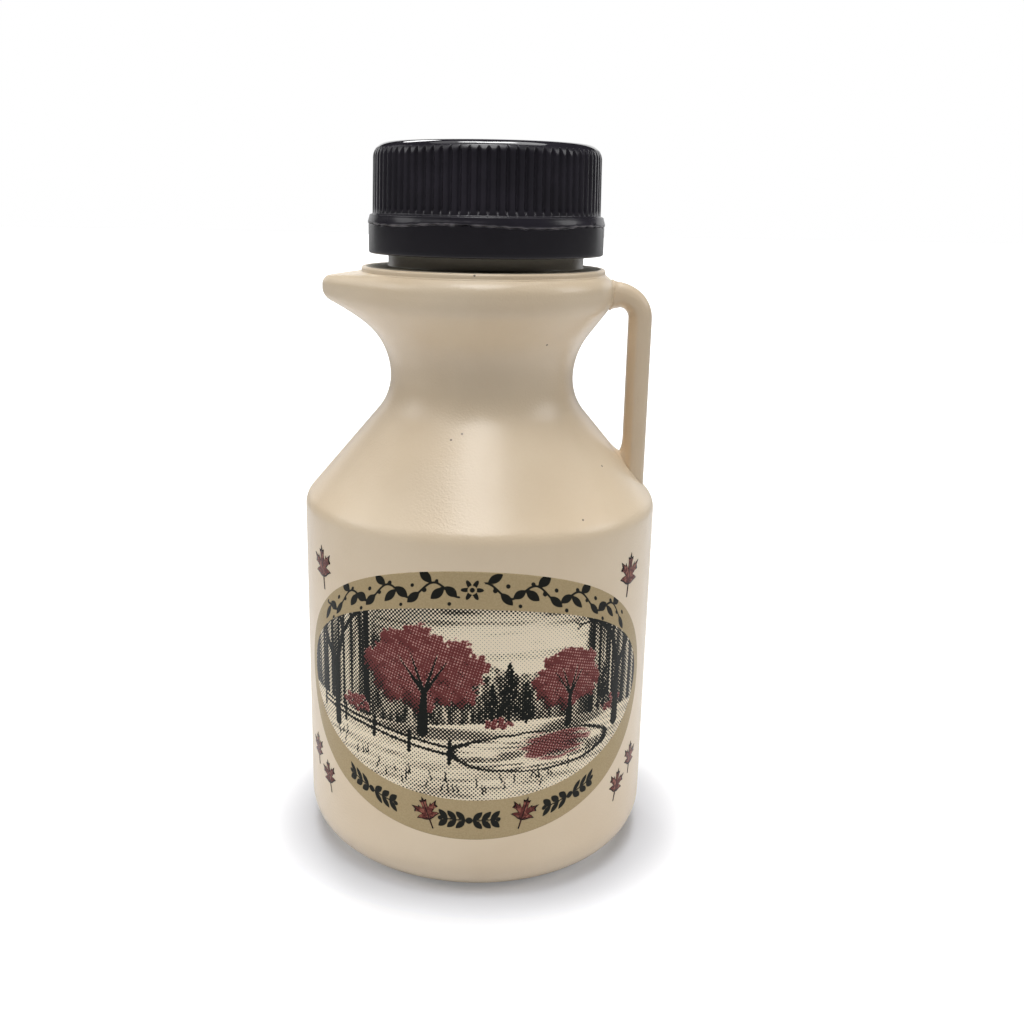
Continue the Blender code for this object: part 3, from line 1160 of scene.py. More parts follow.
    def build(self, handle: Handle, material: bpy.types.Material) -> bpy.types.Object:
        """Makes the jug without its handle, drawn out where the handle meets it.

        Args:
            handle: the handle that grows from it.
            material: the jug's material.

        Returns:
            The object, which replaces the CAD jug with its handle.
        """
        grid = self.grid()
        grid[..., 2] -= self.pinch(grid)
        lift = blend_lift(handle.gap(grid), handle.reach(grid))
        x, z = grid[..., 0], grid[..., 2]
        near = (x > self.handle_side) & (z > handle.end_z) & (z < self.rim_top + 0.2)
        grid = grid + grid_normals(grid) * np.where(near, lift, 0.0)[..., None]
        jug = revolve("jug_body", grid, material, Slot.JUG)
        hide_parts("jug")
        return jug


# The closure


@dataclass(frozen=True)
class TearLine:
    """The ragged line along which the band was torn from the cap."""

    height: float = 113.35
    half_gap: float = 0.03
    seed: int = 11

    def rise(self, angles: Array) -> Array:
        """Height of the line over its mean: a few long waves and many short ones round the ring."""
        return 0.17 * waves(angles, 3, 8, self.seed) + 0.04 * waves(angles, 30, 90, self.seed + 1)

    def burrs(self, angles: Array) -> Array:
        """Size of the torn lumps from 0 to 1: what stands over a high level in another set of waves."""
        return np.clip(waves(angles, 12, 60, self.seed + 2) - 1.15, 0, 1)

    def paleness(self, angles: Array) -> Array:
        """How pale the torn edge is, from 0 to 1."""
        return np.clip(0.4 + 0.3 * waves(angles, 5, 60, self.seed + 3) + 0.7 * self.burrs(angles), 0, 1)


@dataclass
class Closure:
    """What the cap and the band share: the line between them and their axis."""

    tear: TearLine = TearLine()
    burr_size: float = 0.12

    def rings(self, r: Array, z: Array, angles: Array) -> Array:
        """Rings round the neck's axis.

        Args:
            r: radius at each point, a row to each ring.
            z: height at each point.
            angles: places round the ring in radians.

        Returns:
            The rings in millimetres, as an array of rows, columns and parts.
        """
        x, y = NECK_SHIFT + r * np.cos(angles), r * np.sin(angles)
        return np.stack((x, y, np.broadcast_to(z, r.shape)), axis=-1)

    def torn_attribute(self, torn: Array, angles: Array) -> Array:
        """The attribute for the finish, whose first part is how pale a point is.

        Args:
            torn: how torn each point is, from 0 to 1.
            angles: places round the ring in radians.

        Returns:
            A vector for each point.
        """
        return (torn * self.tear.paleness(angles)).reshape(-1, 1) * (1, 0, 0)


@dataclass
class ScrewCap(Closure):
    """The ribbed screw cap, with a flared bead at its foot and a torn lower edge."""

    radius: float = 19.8
    taper: float = 0.16
    top: float = 126.7
    top_curve: float = 2.5
    bore_radius: float = 17.2
    bore_top: float = 124.9
    rib_count: int = 80
    rib_depth: float = 0.48
    rib_bottom: float = 114.9
    rib_top: float = 125.75
    flare_radius: float = 20.6
    foot_curve: float = 0.14
    ledge_curve: float = 0.28
    dish_depth: float = 0.2
    crown_radius: float = 17.0
    hidden_rows: int = 11
    points_per_rib: int = 12

    @property
    def bottom(self) -> float:
        """Mean height of the torn lower edge."""
        return self.tear.height + self.tear.half_gap

    def profile(self) -> Array:
        """Outline from the bore round the foot and up to the middle of the top.

        Returns:
            The outline, as radius and height.
        """
        bore, low = self.bore_radius, self.bottom
        roof = line((0.5, self.bore_top), (bore - 0.3, self.bore_top), 4)
        inside = line((bore, self.bore_top - 0.3), (bore, low + 0.15), 5)
        foot = np.array(((bore + 0.15, low), (bore + 1.6, low), (self.flare_radius - 0.25, low)))
        curve = self.foot_curve
        edge = arc((self.flare_radius - curve, low + curve), curve, -90, 0, 4)
        bead = line((self.flare_radius, low + 0.35), (self.flare_radius - 0.25, low + 1.2), 6)
        shoulder = arc((self.flare_radius - 0.53, low + 1.24), self.ledge_curve, 5, 85, 6)
        ledge = np.array(((self.radius + 0.08, low + 1.6), (self.radius + 0.01, low + 1.72)))
        lower = np.linspace(low + 1.84, low + 3.5, 15)
        heights = np.concatenate((lower, np.linspace(117, 123.2, 5), np.linspace(123.6, 124.19, 4)))
        slant = self.taper * (heights - heights[0]) / (heights[-1] - heights[0])
        wall = np.column_stack((self.radius - slant, heights))
        centre = (self.radius - self.taper - self.top_curve, self.top - self.top_curve)
        rounding = arc(centre, self.top_curve, 0, 90, 30)
        radii = np.array((15.6, 13.5, 11.0, 8.0, 5.0, 2.5, 0.6))
        crown = np.column_stack((radii, self.top - self.dish_depth * step(radii, 16.0, 8.0)))
        return np.concatenate((roof, inside, foot, edge, bead, shoulder, ledge, wall, rounding, crown))

    def groove(self, across: Array, z: Array) -> Array:
        """Depth of the grooves between the ribs.

        Across, the depth is a smooth step from the side of a rib to the middle of the groove. It
        starts and stops along pointed arches: the ends move inwards with the distance from the
        groove's middle.

        Args:
            across: place round the cap, counted in ribs.
            z: height in millimetres.

        Returns:
            The depth at each place.
        """
        middle = np.abs(np.mod(across, 1.0) - 0.5)
        depth = step(middle, 0.32, 0.04)
        high = step(self.rib_top - 3.4 * middle - z, 0.0, 0.5)
        low = step(z - self.rib_bottom - 2.6 * middle, 0.0, 0.9)
        return self.rib_depth * depth * high * low

    def build(self, material: bpy.types.Material) -> bpy.types.Object:
        """Makes the cap: the profile turned about the axis, cut by the grooves, with a ragged foot.

        Args:
            material: the cap's material.

        Returns:
            The object, which replaces the CAD cap.
        """
        columns = self.rib_count * self.points_per_rib
        angles = np.linspace(0, 2 * np.pi, columns, endpoint=False)
        profile = self.profile()
        r, z = profile[:, :1], profile[:, 1:]
        outer = np.arange(len(profile))[:, None] >= self.hidden_rows
        across = (angles * self.rib_count / (2 * np.pi))[None, :]
        r = r - np.where(outer & (r > self.crown_radius), self.groove(across, z), 0.0)
        foot = step(z, self.bottom + 1.0, self.bottom + 0.2)
        torn = np.where(outer, step(z, self.bottom + 0.22, self.bottom + 0.04), 0.0)
        z = z + foot * self.tear.rise(angles)[None]
        r = r + torn * self.burr_size * self.tear.burrs(angles)[None]
        grid = self.rings(r, z, angles)
        pale = np.concatenate((self.torn_attribute(torn, angles), np.zeros((2, 3))))
        cap = revolve("screw_cap", grid, material, Slot.CAP, {"torn": pale})
        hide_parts("cap")
        return cap


@dataclass
class TamperBand(Closure):
    """The tamper band, torn from the cap along its upper edge."""

    burr_size: float = 0.15
    radius: float = 20.5
    bottom: float = 108.4
    wall: float = 1.5
    lip_radius: float = 17.2
    torn_radius: float = 20.0
    columns: int = 960

    @property
    def top(self) -> float:
        """Mean height of the torn upper edge."""
        return self.tear.height - self.tear.half_gap

    def profile(self) -> Array:
        """Outline of the wall with its lip turned in.

        Returns:
            The closed outline, as radius and height.
        """
        inner, lip, low, high = self.radius - self.wall, self.lip_radius, self.bottom, self.top
        inside = np.array(
            (
                (inner + 0.2, high),
                (inner, high - 0.2),
                (inner, low + 2.4),
                (inner - 0.3, low + 1.7),
                (lip + 0.3, low + 1.2),
                (lip, low + 0.9),
                (lip, low + 0.5),
                (lip + 0.4, low + 0.3),
                (inner, low + 0.02),
            )
        )
        lower = arc((self.radius - 0.35, low + 0.35), 0.35, -90, 0, 8)
        outer = line((self.radius, low + 0.8), (self.radius, high - 1.0), 6)
        neck = line((self.radius, high - 0.8), (self.radius, high - 0.2), 4)
        upper = arc((self.radius - 0.12, high - 0.12), 0.12, 0, 90, 4)
        return np.concatenate((inside, lower, outer, neck, upper))

    def build(self, material: bpy.types.Material) -> bpy.types.Object:
        """Makes the band, whose upper edge follows the tear line, with small burrs.

        Args:
            material: the band's material.

        Returns:
            The object, which replaces the CAD band.
        """
        angles = np.linspace(0, 2 * np.pi, self.columns, endpoint=False)
        profile = self.profile()
        r, z = profile[:, :1], profile[:, 1:]
        top = step(z, self.top - 1.0, self.top - 0.15)
        torn = step(z, self.top - 0.16, self.top - 0.03) * (r > self.torn_radius)
        z = z + top * self.tear.rise(angles)[None]
        r = r + torn * self.burr_size * self.tear.burrs(angles)[None]
        points = self.rings(r, z, angles).reshape(-1, 3)
        faces = (ring_faces(len(profile), self.columns, closed=True),)
        pale = {"torn": self.torn_attribute(torn, angles)}
        band = add_piece("torn_band", points, faces, material, Slot.CAP, pale)
        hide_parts("tamper_band")
        return band


# The print


class Drawing:
    """Tones of the two inks at a set of points, laid over one another from the back to the front."""

    softness: float = 0.16
    lattice: int = 97
    lattice_middle: Point = (500.3, 500.7)

    def __init__(self, x: Array, y: Array) -> None:
        """Keeps the points, with no ink on them.

        Args:
            x: places across in millimetres.
            y: places up in millimetres.
        """
        self.x, self.y = x, y
        self.dark = np.zeros_like(x)
        self.red = np.zeros_like(x)

    def lay(self, cover: Array, dark: Array | float = 0.0, red: Array | float = 0.0) -> None:
        """Moves both tones towards the given ones by the share in cover."""
        self.dark += cover * (dark - self.dark)
        self.red += cover * (red - self.red)

    def within(self, distance: Array, softness: float | None = None) -> Array:
        """Share of cover from a distance that is below 0 inside a shape."""
        return np.clip(0.5 - distance / (softness or self.softness), 0.0, 1.0)

    def mottle(self, size: Point, seed: int) -> Array:
        """Soft noise from 0 to 1: drawn values at the corners of a lattice, with a smooth step between
        neighbours, plus half as much of a lattice that is 2.3 times finer.

        Args:
            size: length of a bump in millimetres, across and up.
            seed: seed of the draw.

        Returns:
            The noise at each point.
        """
        drawn = np.random.default_rng(seed).uniform(0, 1, (self.lattice, self.lattice))
        total = np.zeros_like(self.x)
        for rate, weight in ((1.0, 2 / 3), (2.3, 1 / 3)):
            u = self.x * rate / size[0] + self.lattice_middle[0]
            v = self.y * rate / size[1] + self.lattice_middle[1]
            left, lower = np.floor(u).astype(int), np.floor(v).astype(int)
            s, t = step(u - left, 0, 1), step(v - lower, 0, 1)
            left, right = left % self.lattice, (left + 1) % self.lattice
            lower, upper = lower % self.lattice, (lower + 1) % self.lattice
            low = drawn[lower, left] * (1 - s) + drawn[lower, right] * s
            high = drawn[upper, left] * (1 - s) + drawn[upper, right] * s
            total += weight * (low * (1 - t) + high * t)
        return total

    def stroke(self, start: Point, end: Point, width: Point, dark: float = 1.0) -> None:
        """Draws a tapered stroke of dark ink.

        Its edge lies where the distance to the nearest point of a segment is half the width there.

        Args:
            start: first end of the segment.
            end: its other end.
            width: width at either end.
            dark: tone of the ink.
        """
        along = np.subtract(end, start)
        x, y = self.x - start[0], self.y - start[1]
        share = np.clip((x * along[0] + y * along[1]) / max(along @ along, 1e-9), 0, 1)
        away = np.hypot(x - share * along[0], y - share * along[1])
        self.lay(self.within(away - (width[0] + (width[1] - width[0]) * share) / 2), dark)

    def tree(self, start: Point, height: float, width: float, seed: int, levels: int, lean: float) -> None:
        """Draws a bare tree: each limb forks in two shorter, thinner limbs at drawn angles.

        Args:
            start: foot of the trunk.
            height: rough height of the tree.
            width: width of the trunk.
            seed: seed of the draw.
            levels: number of times that the limbs fork.
            lean: angle of the trunk to the left, in radians.
        """
        rng = np.random.default_rng(seed)
        limbs = [(start, np.pi / 2 + lean, height * 0.42, width, levels)]
        while limbs:
            (x, y), angle, length, thick, left = limbs.pop()
            end = (x + length * np.cos(angle), y + length * np.sin(angle))
            self.stroke((x, y), end, (thick, thick * 0.72), 0.97)
            if left:
                for side in (-1, 1):
                    turn = side * rng.uniform(0.22, 0.6)
                    share = rng.uniform(0.62, 0.82)
                    limbs.append((end, angle + turn, length * share, thick * 0.66, left - 1))

    def crown(self, centre: Point, half: Point, seed: int, clumps: int = 30) -> None:
        """Draws a round crown: discs of leaves laid from its top down, spread by the golden angle.

        Each disc's edge is broken by fine noise, and its dark tone rises towards its lower left.

        Args:
            centre: middle of the crown.
            half: half of its width and height.
            seed: seed of the draw.
            clumps: number of discs.
        """
        rng = np.random.default_rng(seed)
        numbers = np.arange(clumps)
        turns = numbers * np.pi * (3 - np.sqrt(5)) + rng.uniform(0, 2 * np.pi)
        spread = 0.8 * np.sqrt((numbers + 0.5) / clumps)
        places = np.column_stack((np.cos(turns) * spread, np.sin(turns) * spread))
        fine = self.mottle((0.6, 0.5), seed) - 0.5
        for place in places[np.argsort(-places[:, 1])]:
            size = rng.uniform(0.27, 0.38) * min(half)
            right = (self.x - centre[0] - place[0] * half[0]) / size
            above = (self.y - centre[1] - place[1] * half[1]) / size
            cover = self.within((np.hypot(right, above * 1.2) - 1 + fine * 0.8) * size, 0.3)
            shade = step(-0.6 * right - 0.8 * above, -0.3, 1.3)
            dark = 0.62 * shade + 0.22 * step(place[1], 0.5, -0.9) + 0.5 * fine - 0.08
            self.lay(cover, np.clip(dark, 0, 1), np.clip(0.96 - 0.5 * fine - 0.3 * (shade < 0.1), 0, 1))

    def spruce(self, foot: Point, height: float, seed: int) -> None:
        """Draws a spruce: tiers of branches from the ground up, each a triangle narrower than the last.

        Args:
            foot: foot of the trunk.
            height: height of the tree.
            seed: seed of the draw.
        """
        tone = np.clip(0.82 + (self.mottle((0.4, 0.5), seed) - 0.5) * 0.7, 0, 1)
        for tier in range(7):
            low = foot[1] + height * (0.06 + 0.125 * tier)
            tall = height * (0.27 - 0.012 * tier)
            half = height * 0.27 * (1 - tier / 8.2)
            side = np.abs(self.x - foot[0]) - half * (low + tall - self.y) / tall
            self.lay(self.within(np.maximum(side, low - self.y), 0.22), tone)
        self.stroke(foot, (foot[0], foot[1] + height * 0.1), (0.5, 0.4))


class Landscape(Drawing):
    """A made-up autumn view: hills, woods, two round maples, a pond and a split-rail fence.

    Places are millimetres from the middle of the picture, and tones run from 0 for bare paper to 1
    for solid ink. What each row holds:

    - ridges: level, height, length and phase of the wave, tone and seed
    - trees: middle and half size of the crown, height of the foot and seed
    - limbs: turn from upright in radians and share of the crown that the limb reaches
    - bushes: middle, half size and seed
    - firs: foot, height and seed
    - rails: both ends and height
    - posts: place across, height of the foot and height
    """

    ridges: tuple[tuple[float, ...], ...] = (
        (7.0, 1.9, 8.0, 2.6, 0.44, 5),
        (4.2, 1.5, 11.0, 0.4, 0.55, 6),
        (1.4, 1.0, 6.5, 1.7, 0.66, 7),
    )
    trees: tuple[tuple[Point, Point, float, int], ...] = (
        ((-8.2, 6.0), (11.4, 7.6), -5.2, 41),
        ((17.2, 3.8), (7.0, 5.4), -4.4, 45),
    )
    limbs: tuple[Point, ...] = ((-0.75, 0.55), (-0.3, 0.62), (0.35, 0.66), (0.8, 0.5))
    bushes: tuple[tuple[Point, Point, int], ...] = (
        ((-21.5, -2.6), (3.6, 1.9), 51),
        ((4.6, -3.0), (2.8, 1.3), 53),
        ((27.0, -3.0), (3.2, 1.7), 55),
    )
    firs: tuple[tuple[Point, float, int], ...] = (
        ((6.4, -2.4), 10.5, 61),
        ((9.4, -3.0), 7.6, 62),
        ((3.6, -2.2), 6.6, 63),
        ((25.0, -3.4), 8.4, 64),
    )
    rails: tuple[tuple[Point, Point, float], ...] = (
        ((-31.0, -6.2), (-17.5, -7.8), 2.7),
        ((-17.5, -7.8), (-3.5, -10.4), 3.3),
    )
    posts: tuple[tuple[float, float, float], ...] = (
        (-30.8, -6.2, 2.5),
        (-24.3, -6.9, 2.8),
        (-17.5, -7.8, 3.2),
        (-10.6, -9.0, 3.6),
        (-3.5, -10.4, 4.0),
    )

    def hills(self) -> None:
        """The sky and three ridges: each ridge is a level line with two sine waves on it."""
        x, y = self.x, self.y
        glow = step(np.hypot((x - 6) / 21, (y - 9) / 8), 0.5, 1.15)
        streak = step(self.mottle((9.0, 0.9), 3), 0.55, 0.8) * step(y, 6, 10)
        self.lay(1.0, 0.07 + 0.4 * glow + 0.2 * streak)
        for level, tall, size, phase, tone, seed in self.ridges:
            top = level + tall * np.sin(x / size + phase) + 0.5 * np.sin(x / 2.3 + 3 * phase)
            crest = 0.5 * (self.mottle((0.55, 9.0), seed + 20) - 0.3)
            wood = self.mottle((0.55, 2.4), seed)
            self.lay(self.within(y - top - crest, 0.3), np.clip(tone + (wood - 0.5) * 0.75, 0, 1))

    def woods(self) -> None:
        """Trunks close together at the left and the right, over a hatched shade."""
        for side, edge, seed in ((-1, 17.0, 21), (1, 21.0, 22)):
            away = side * self.x - edge
            ragged = 3.0 * (self.mottle((1.6, 4.0), seed) - 0.5)
            hatch = self.mottle((0.7, 14.0), seed + 1)
            cover = step(away + ragged, -1.0, 1.0) * step(self.y, -5.6, -4.2)
            self.lay(cover, np.clip(0.36 + step(hatch, 0.25, 0.75) * 0.5, 0, 1))
            rng = np.random.default_rng(seed)
            for place in rng.uniform(edge, 35.0, 9):
                foot, lean = (side * place, rng.uniform(-6.5, -4)), rng.uniform(-0.6, 0.6)
                self.stroke(foot, (foot[0] + lean, 17), (rng.uniform(0.5, 0.95), 0.35), 0.95)

    def meadow(self) -> None:
        """Grass in long low sweeps, darker towards the lower edge, and a pond with ripples."""
        x, y = self.x, self.y
        top = -3.6 + 0.9 * np.sin(x / 8.5 + 0.6)
        sweep = self.mottle((6.0, 0.6), 31)
        depth = step(top - y, 0.0, 12.0)
        tone = 0.22 + 0.06 * depth + (sweep - 0.5) * 0.5
        self.lay(self.within(y - top, 0.3), np.clip(tone, 0, 1))
        ragged = 0.1 * (self.mottle((2.0, 1.2), 32) - 0.5)
        shore = np.hypot((x - 11.5) / 14.5, (y + 8.6) / 3.5) - 1 + ragged
        ripple = step(self.mottle((4.0, 0.4), 33), 0.35, 0.7)
        self.lay(self.within(shore * 3.5), 0.1 + 0.42 * ripple)
        mirror = self.within(np.hypot((x - 15) / 5.5, (y + 7.8) / 2.2) - 1 + 0.5 * (ripple - 0.5), 0.4)
        self.lay(mirror * 0.85, 0.2 + 0.3 * ripple, 0.75)
        self.lay(self.within(np.abs(shore * 3.5) - 0.16), 0.85)

    def maples(self) -> None:
        """Two round maples with red crowns, their shade on the grass, and low red bushes."""
        for place, half, foot, seed in self.trees:
            shade = np.hypot((self.x - place[0] - 1.5) / (half[0] * 0.95), (self.y - foot) / 1.1) - 1
            self.lay(self.within(shade, 0.5) * 0.8, 0.66)
            trunk = half[0] * 0.13
            base, fork = (place[0], foot), (place[0] + 0.3, place[1] - half[1] * 0.55)
            self.stroke(base, fork, (trunk * 1.25, trunk * 0.8))
            self.crown(place, half, seed)
            self.stroke(base, fork, (trunk * 1.25, trunk * 0.7))
            for turn, reach in self.limbs:
                across, up = reach * half[0] * np.sin(turn), reach * half[1] * np.cos(turn) * 0.6
                self.stroke(fork, (place[0] + across, place[1] + up), (trunk * 0.5, 0.14), 0.92)
        for place, half, seed in self.bushes:
            self.crown(place, half, seed, 14)

    def spruces(self) -> None:
        """Spruces in the middle distance and a bare tree at either side."""
        for fir in self.firs:
            self.spruce(*fir)
        self.tree((-26.5, -8.0), 24.0, 1.6, 71, 5, 0.04)
        self.tree((28.3, -7.0), 24.0, 1.8, 72, 5, -0.03)

    def fence(self) -> None:
        """A split-rail fence that comes towards the eye from the left."""
        for start, end, tall in self.rails:
            for share in (0.45, 0.85):
                low, high = start[1] + tall * share * 0.85, end[1] + tall * share
                self.stroke((start[0], low), (end[0], high), (0.34, 0.46), 0.95)
        for place, foot, tall in self.posts:
            self.stroke((place, foot), (place + 0.1, foot + tall), (0.62, 0.55), 0.98)

    def grass(self) -> None:
        """Short dark blades along the lower edge."""
        rng = np.random.default_rng(81)
        for place, lean, tall in rng.uniform((-27, -0.5, 0.9), (27, 0.5, 2.0), (46, 3)):
            foot = -16.4 * np.sqrt(max(1 - (place / 35.0) ** 2, 0.05)) + rng.uniform(0.3, 2.6)
            self.stroke((place, foot), (place + lean, foot + tall), (0.26, 0.1), 0.85)

    def draw(self) -> None:
        """Lays everything down, from the sky to the grass in front."""
        self.hills()
        self.woods()
        self.meadow()
        self.maples()
        self.spruces()
        self.fence()
        self.grass()


def half_ellipse(x: Array, half: Point) -> Array:
    """Height of the upper half of an ellipse.

    Args:
        x: places across, from its middle.
        half: half its width and half its height.

    Returns:
        The height at each place.
    """
    return half[1] * np.sqrt(1 - (x / half[0]) ** 2)


@dataclass
class VineBand:
    """A vine with leaves and berries that runs round the tan band, as a distance to its nearest line.

    Places s run along the band and places n across it, both in millimetres from its middle line.
    Each sprig of the lower part gives its middle and half its length.
    """

    wave_length: float = 8.4
    wave_height: float = 1.25
    stem_half: float = 0.19
    vine_end: float = 31.0
    leaf_pairs: int = 14
    flower_gap: float = 0.35
    petals: int = 6
    petal_radius: float = 1.9
    petal_foot: float = 0.75
    eye_radius: float = 0.42
    flower_clear: float = 2.3
    sprigs: tuple[Point, ...] = ((0.0, 5.0), (-18.4, 5.2), (18.4, 5.2))
    sprig_half: float = 0.14
    knot_radius: float = 0.62
    tip_radius: float = 0.42
    sprig_lean: float = 0.78
    sprig_leaf: Point = (2.3, 0.55)
    sprig_places: tuple[float, ...] = (0.2, 0.5, 0.8)
    seed: int = 91

    def along(self, x: Array, y: Array, side: int) -> tuple[Array, Array]:
        """Places along and across the band.

        The middle line lies halfway between the two ellipses. The place along it is its length from
        the oval's middle line, and the place across is the height above it times the cosine of its
        slope, widened where the band is narrow.

        Args:
            x: places across the oval.
            y: places up the oval.
            side: 1 for the upper part of the band and -1 for the lower.

        Returns:
            The two places in millimetres.
        """
        table = np.linspace(-34, 34, 681)
        outer = side * half_ellipse(table, OVAL_HALF)
        inner = PICTURE_RISE + side * half_ellipse(table, PICTURE_HALF)
        middle = (outer + inner) / 2
        slope = np.gradient(middle, table)
        length = np.concatenate(([0], np.cumsum(np.hypot(np.diff(table), np.diff(middle)))))
        length -= np.interp(0, table, length)
        cosine = 1 / np.hypot(1, np.interp(x, table, slope))
        across = (y - np.interp(x, table, middle)) * cosine
        widest = abs(np.interp(0, table, outer - inner))
        width = np.abs(np.interp(x, table, outer - inner)) * cosine
        return np.interp(x, table, length), across * np.sqrt(widest / np.maximum(width, 1.0))

    def blade(self, s: Array, n: Array, foot: Point, angle: float, size: Point) -> Array:
        """Distance to a pointed leaf.

        Half its width falls with the square of the place from its middle.

        Args:
            s: places along the band.
            n: places across the band.
            foot: place of the leaf's foot.
            angle: turn of the leaf from the band's line, in radians.
            size: length of the leaf and half its width.

        Returns:
            The distance at each place, below 0 inside the leaf.
        """
        cosine, sine = np.cos(angle), np.sin(angle)
        along = (s - foot[0]) * cosine + (n - foot[1]) * sine - size[0] / 2
        aside = np.abs((n - foot[1]) * cosine - (s - foot[0]) * sine)
        edge = size[1] * (1 - (2 * along / size[0]) ** 2)
        return np.maximum(aside - edge, np.abs(along) - size[0] / 2)

    def upper(self, s: Array, n: Array) -> Array:
        """Distance to the long vine: a sine wave with leaves by turns above and below it.

        Two halves grow away from a flower at the middle, which has six petals by the cosine of six
        times the angle round it. One berry goes with each leaf.

        Args:
            s: places along the band.
            n: places across the band.

        Returns:
            The distance at each place, below 0 inside the vine.
        """
        rng = np.random.default_rng(self.seed)
        rate = 2 * np.pi / self.wave_length
        height = self.wave_height * np.sin(rate * s)
        slope = np.hypot(1, self.wave_height * rate * np.cos(rate * s))
        least = np.maximum(np.abs(n - height) / slope - self.stem_half, np.abs(s) - self.vine_end)
        for k in range(-self.leaf_pairs, self.leaf_pairs + 1):
            place = k * self.wave_length / 4 + self.flower_gap * np.sign(k)
            foot = (place, self.wave_height * np.sin(rate * place))
            away = 1 if place >= 0 else -1
            side = 1 if k % 2 else -1
            lean = rng.uniform(0.55, 0.85)
            angle = side * lean if away > 0 else np.pi - side * lean
            size = (rng.uniform(2.6, 3.1), rng.uniform(0.68, 0.84))
            if k:
                least = np.minimum(least, self.blade(s, n, foot, angle, size))
                berry = (place + away * 1.25, foot[1] - side * 1.2)
                least = np.minimum(least, np.hypot(s - berry[0], n - berry[1]) - rng.uniform(0.3, 0.42))
        outwards = np.hypot(s, n)
        petals = outwards - self.petal_radius * (0.72 + 0.28 * np.cos(self.petals * np.arctan2(n, s)))
        least = np.maximum(least, self.flower_clear - outwards)
        least = np.minimum(least, np.maximum(petals, self.petal_foot - outwards))
        return np.minimum(least, outwards - self.eye_radius)

    def lower(self, s: Array, n: Array) -> Array:
        """Distance to three straight sprigs, each with pairs of leaves that point away from its middle.

        Args:
            s: places along the band.
            n: places across the band.

        Returns:
            The distance at each place, below 0 inside a sprig.
        """
        least = np.full_like(s, FAR)
        for centre, half in self.sprigs:
            stem = np.maximum(np.abs(n) - self.sprig_half, np.abs(s - centre) - half)
            knot = np.hypot(s - centre, n) - self.knot_radius
            tips = np.hypot(np.abs(s - centre) - half, n) - self.tip_radius
            least = np.minimum.reduce((least, stem, knot, tips))
            for end, part, side in product((-1, 1), self.sprig_places, (-1, 1)):
                angle = side * self.sprig_lean if end > 0 else np.pi - side * self.sprig_lean
                foot = (centre + end * (half * part - 0.35), 0.0)
                least = np.minimum(least, self.blade(s, n, foot, angle, self.sprig_leaf))
        return least

    def distance(self, x: Array, y: Array) -> Array:
        """Distance to the nearest line or leaf, below 0 inside it.

        Args:
            x: places across the oval in millimetres.
            y: places up the oval in millimetres.

        Returns:
            The distance at each place in millimetres.
        """
        upper = self.upper(*self.along(x, y, 1))
        lower = self.lower(*self.along(x, y, -1))
        return np.where(y > 0, upper, lower)


@dataclass(kw_only=True)
class Film:
    """A printed film that lies on the front of the wall and is closed behind."""

    proud: float = 0.05
    sunk: float = 0.03

    def bend(self, turn: Array, rim: Array, z: Array) -> Array:
        """Bends the film round the wall: its face stands proud of the wall, and its rim is sunk in it.

        Args:
            turn: angles of the points in radians, from -Y towards +X.
            rim: whether each point is on the rim.
            z: heights in millimetres.

        Returns:
            The points in millimetres, with the parts on the last axis.
        """
        radius = WALL_RADIUS + np.where(rim, -self.sunk, self.proud)
        return np.stack((radius * np.sin(turn), -radius * np.cos(turn), z), axis=-1)


@dataclass
class PrintedOval(Film):
    """The oval print."""

    centre_z: float = 36.0
    columns: int = 420
    rows: int = 214

    def faces(self) -> tuple[Array, Array]:
        """Faces of the film: its front, upright strips that close it behind, and its two ends.

        Returns:
            The quads and the two triangles.
        """
        across, up = self.columns + 1, self.rows + 1
        number = np.arange(across * up).reshape(up, across)
        front = np.stack((number[:-1, :-1], number[:-1, 1:], number[1:, 1:], number[1:, :-1]), axis=-1)
        low, high = number[0], number[-1]
        back = [np.column_stack((low[:-1], high[:-1], high[1:], low[1:]))]
        half = self.rows // 2
        ends = []
        for edge, turn in ((number[:, 0], 1), (number[:, -1], -1)):
            below, above = edge[: half + 1], edge[::-1][: half + 1]
            strips = np.column_stack((below[1:-1], above[1:-1], above[:-2], below[:-2]))[:, ::turn]
            back.append(strips)
            ends.append([below[half], above[half - 1], below[half - 1]][::turn])
        return np.concatenate((front.reshape(-1, 4), *back)), np.array(ends)

    def build(self, material: bpy.types.Material) -> bpy.types.Object:
        """Makes the film.

        A square grid (u, v) becomes an ellipse: x is u times the root of 1 less half of v squared,
        and y is v times the root of 1 less half of u squared. x is then bent round the wall.

        Args:
            material: the print's material, which reads the attributes place and inks.

        Returns:
            The object.
        """
        u, v = np.meshgrid(np.linspace(-1, 1, self.columns + 1), np.linspace(-1, 1, self.rows + 1))
        x = OVAL_HALF[0] * u * np.sqrt(1 - v * v / 2)
        y = OVAL_HALF[1] * v * np.sqrt(1 - u * u / 2)
        rim = np.ones(u.shape, bool)
        rim[1:-1, 1:-1] = False
        points = self.bend(x / WALL_RADIUS, rim, self.centre_z + y)
        x, y = x.ravel(), y.ravel()
        view = Landscape(x, y - PICTURE_RISE)
        view.draw()
        place = np.column_stack((x, y, np.zeros_like(x)))
        inks = np.column_stack((view.dark, view.red, VineBand().distance(x, y)))
        points, attributes = points.reshape(-1, 3), {"place": place, "inks": inks}
        return add_piece("printed_oval", points, self.faces(), material, Slot.JUG, attributes)


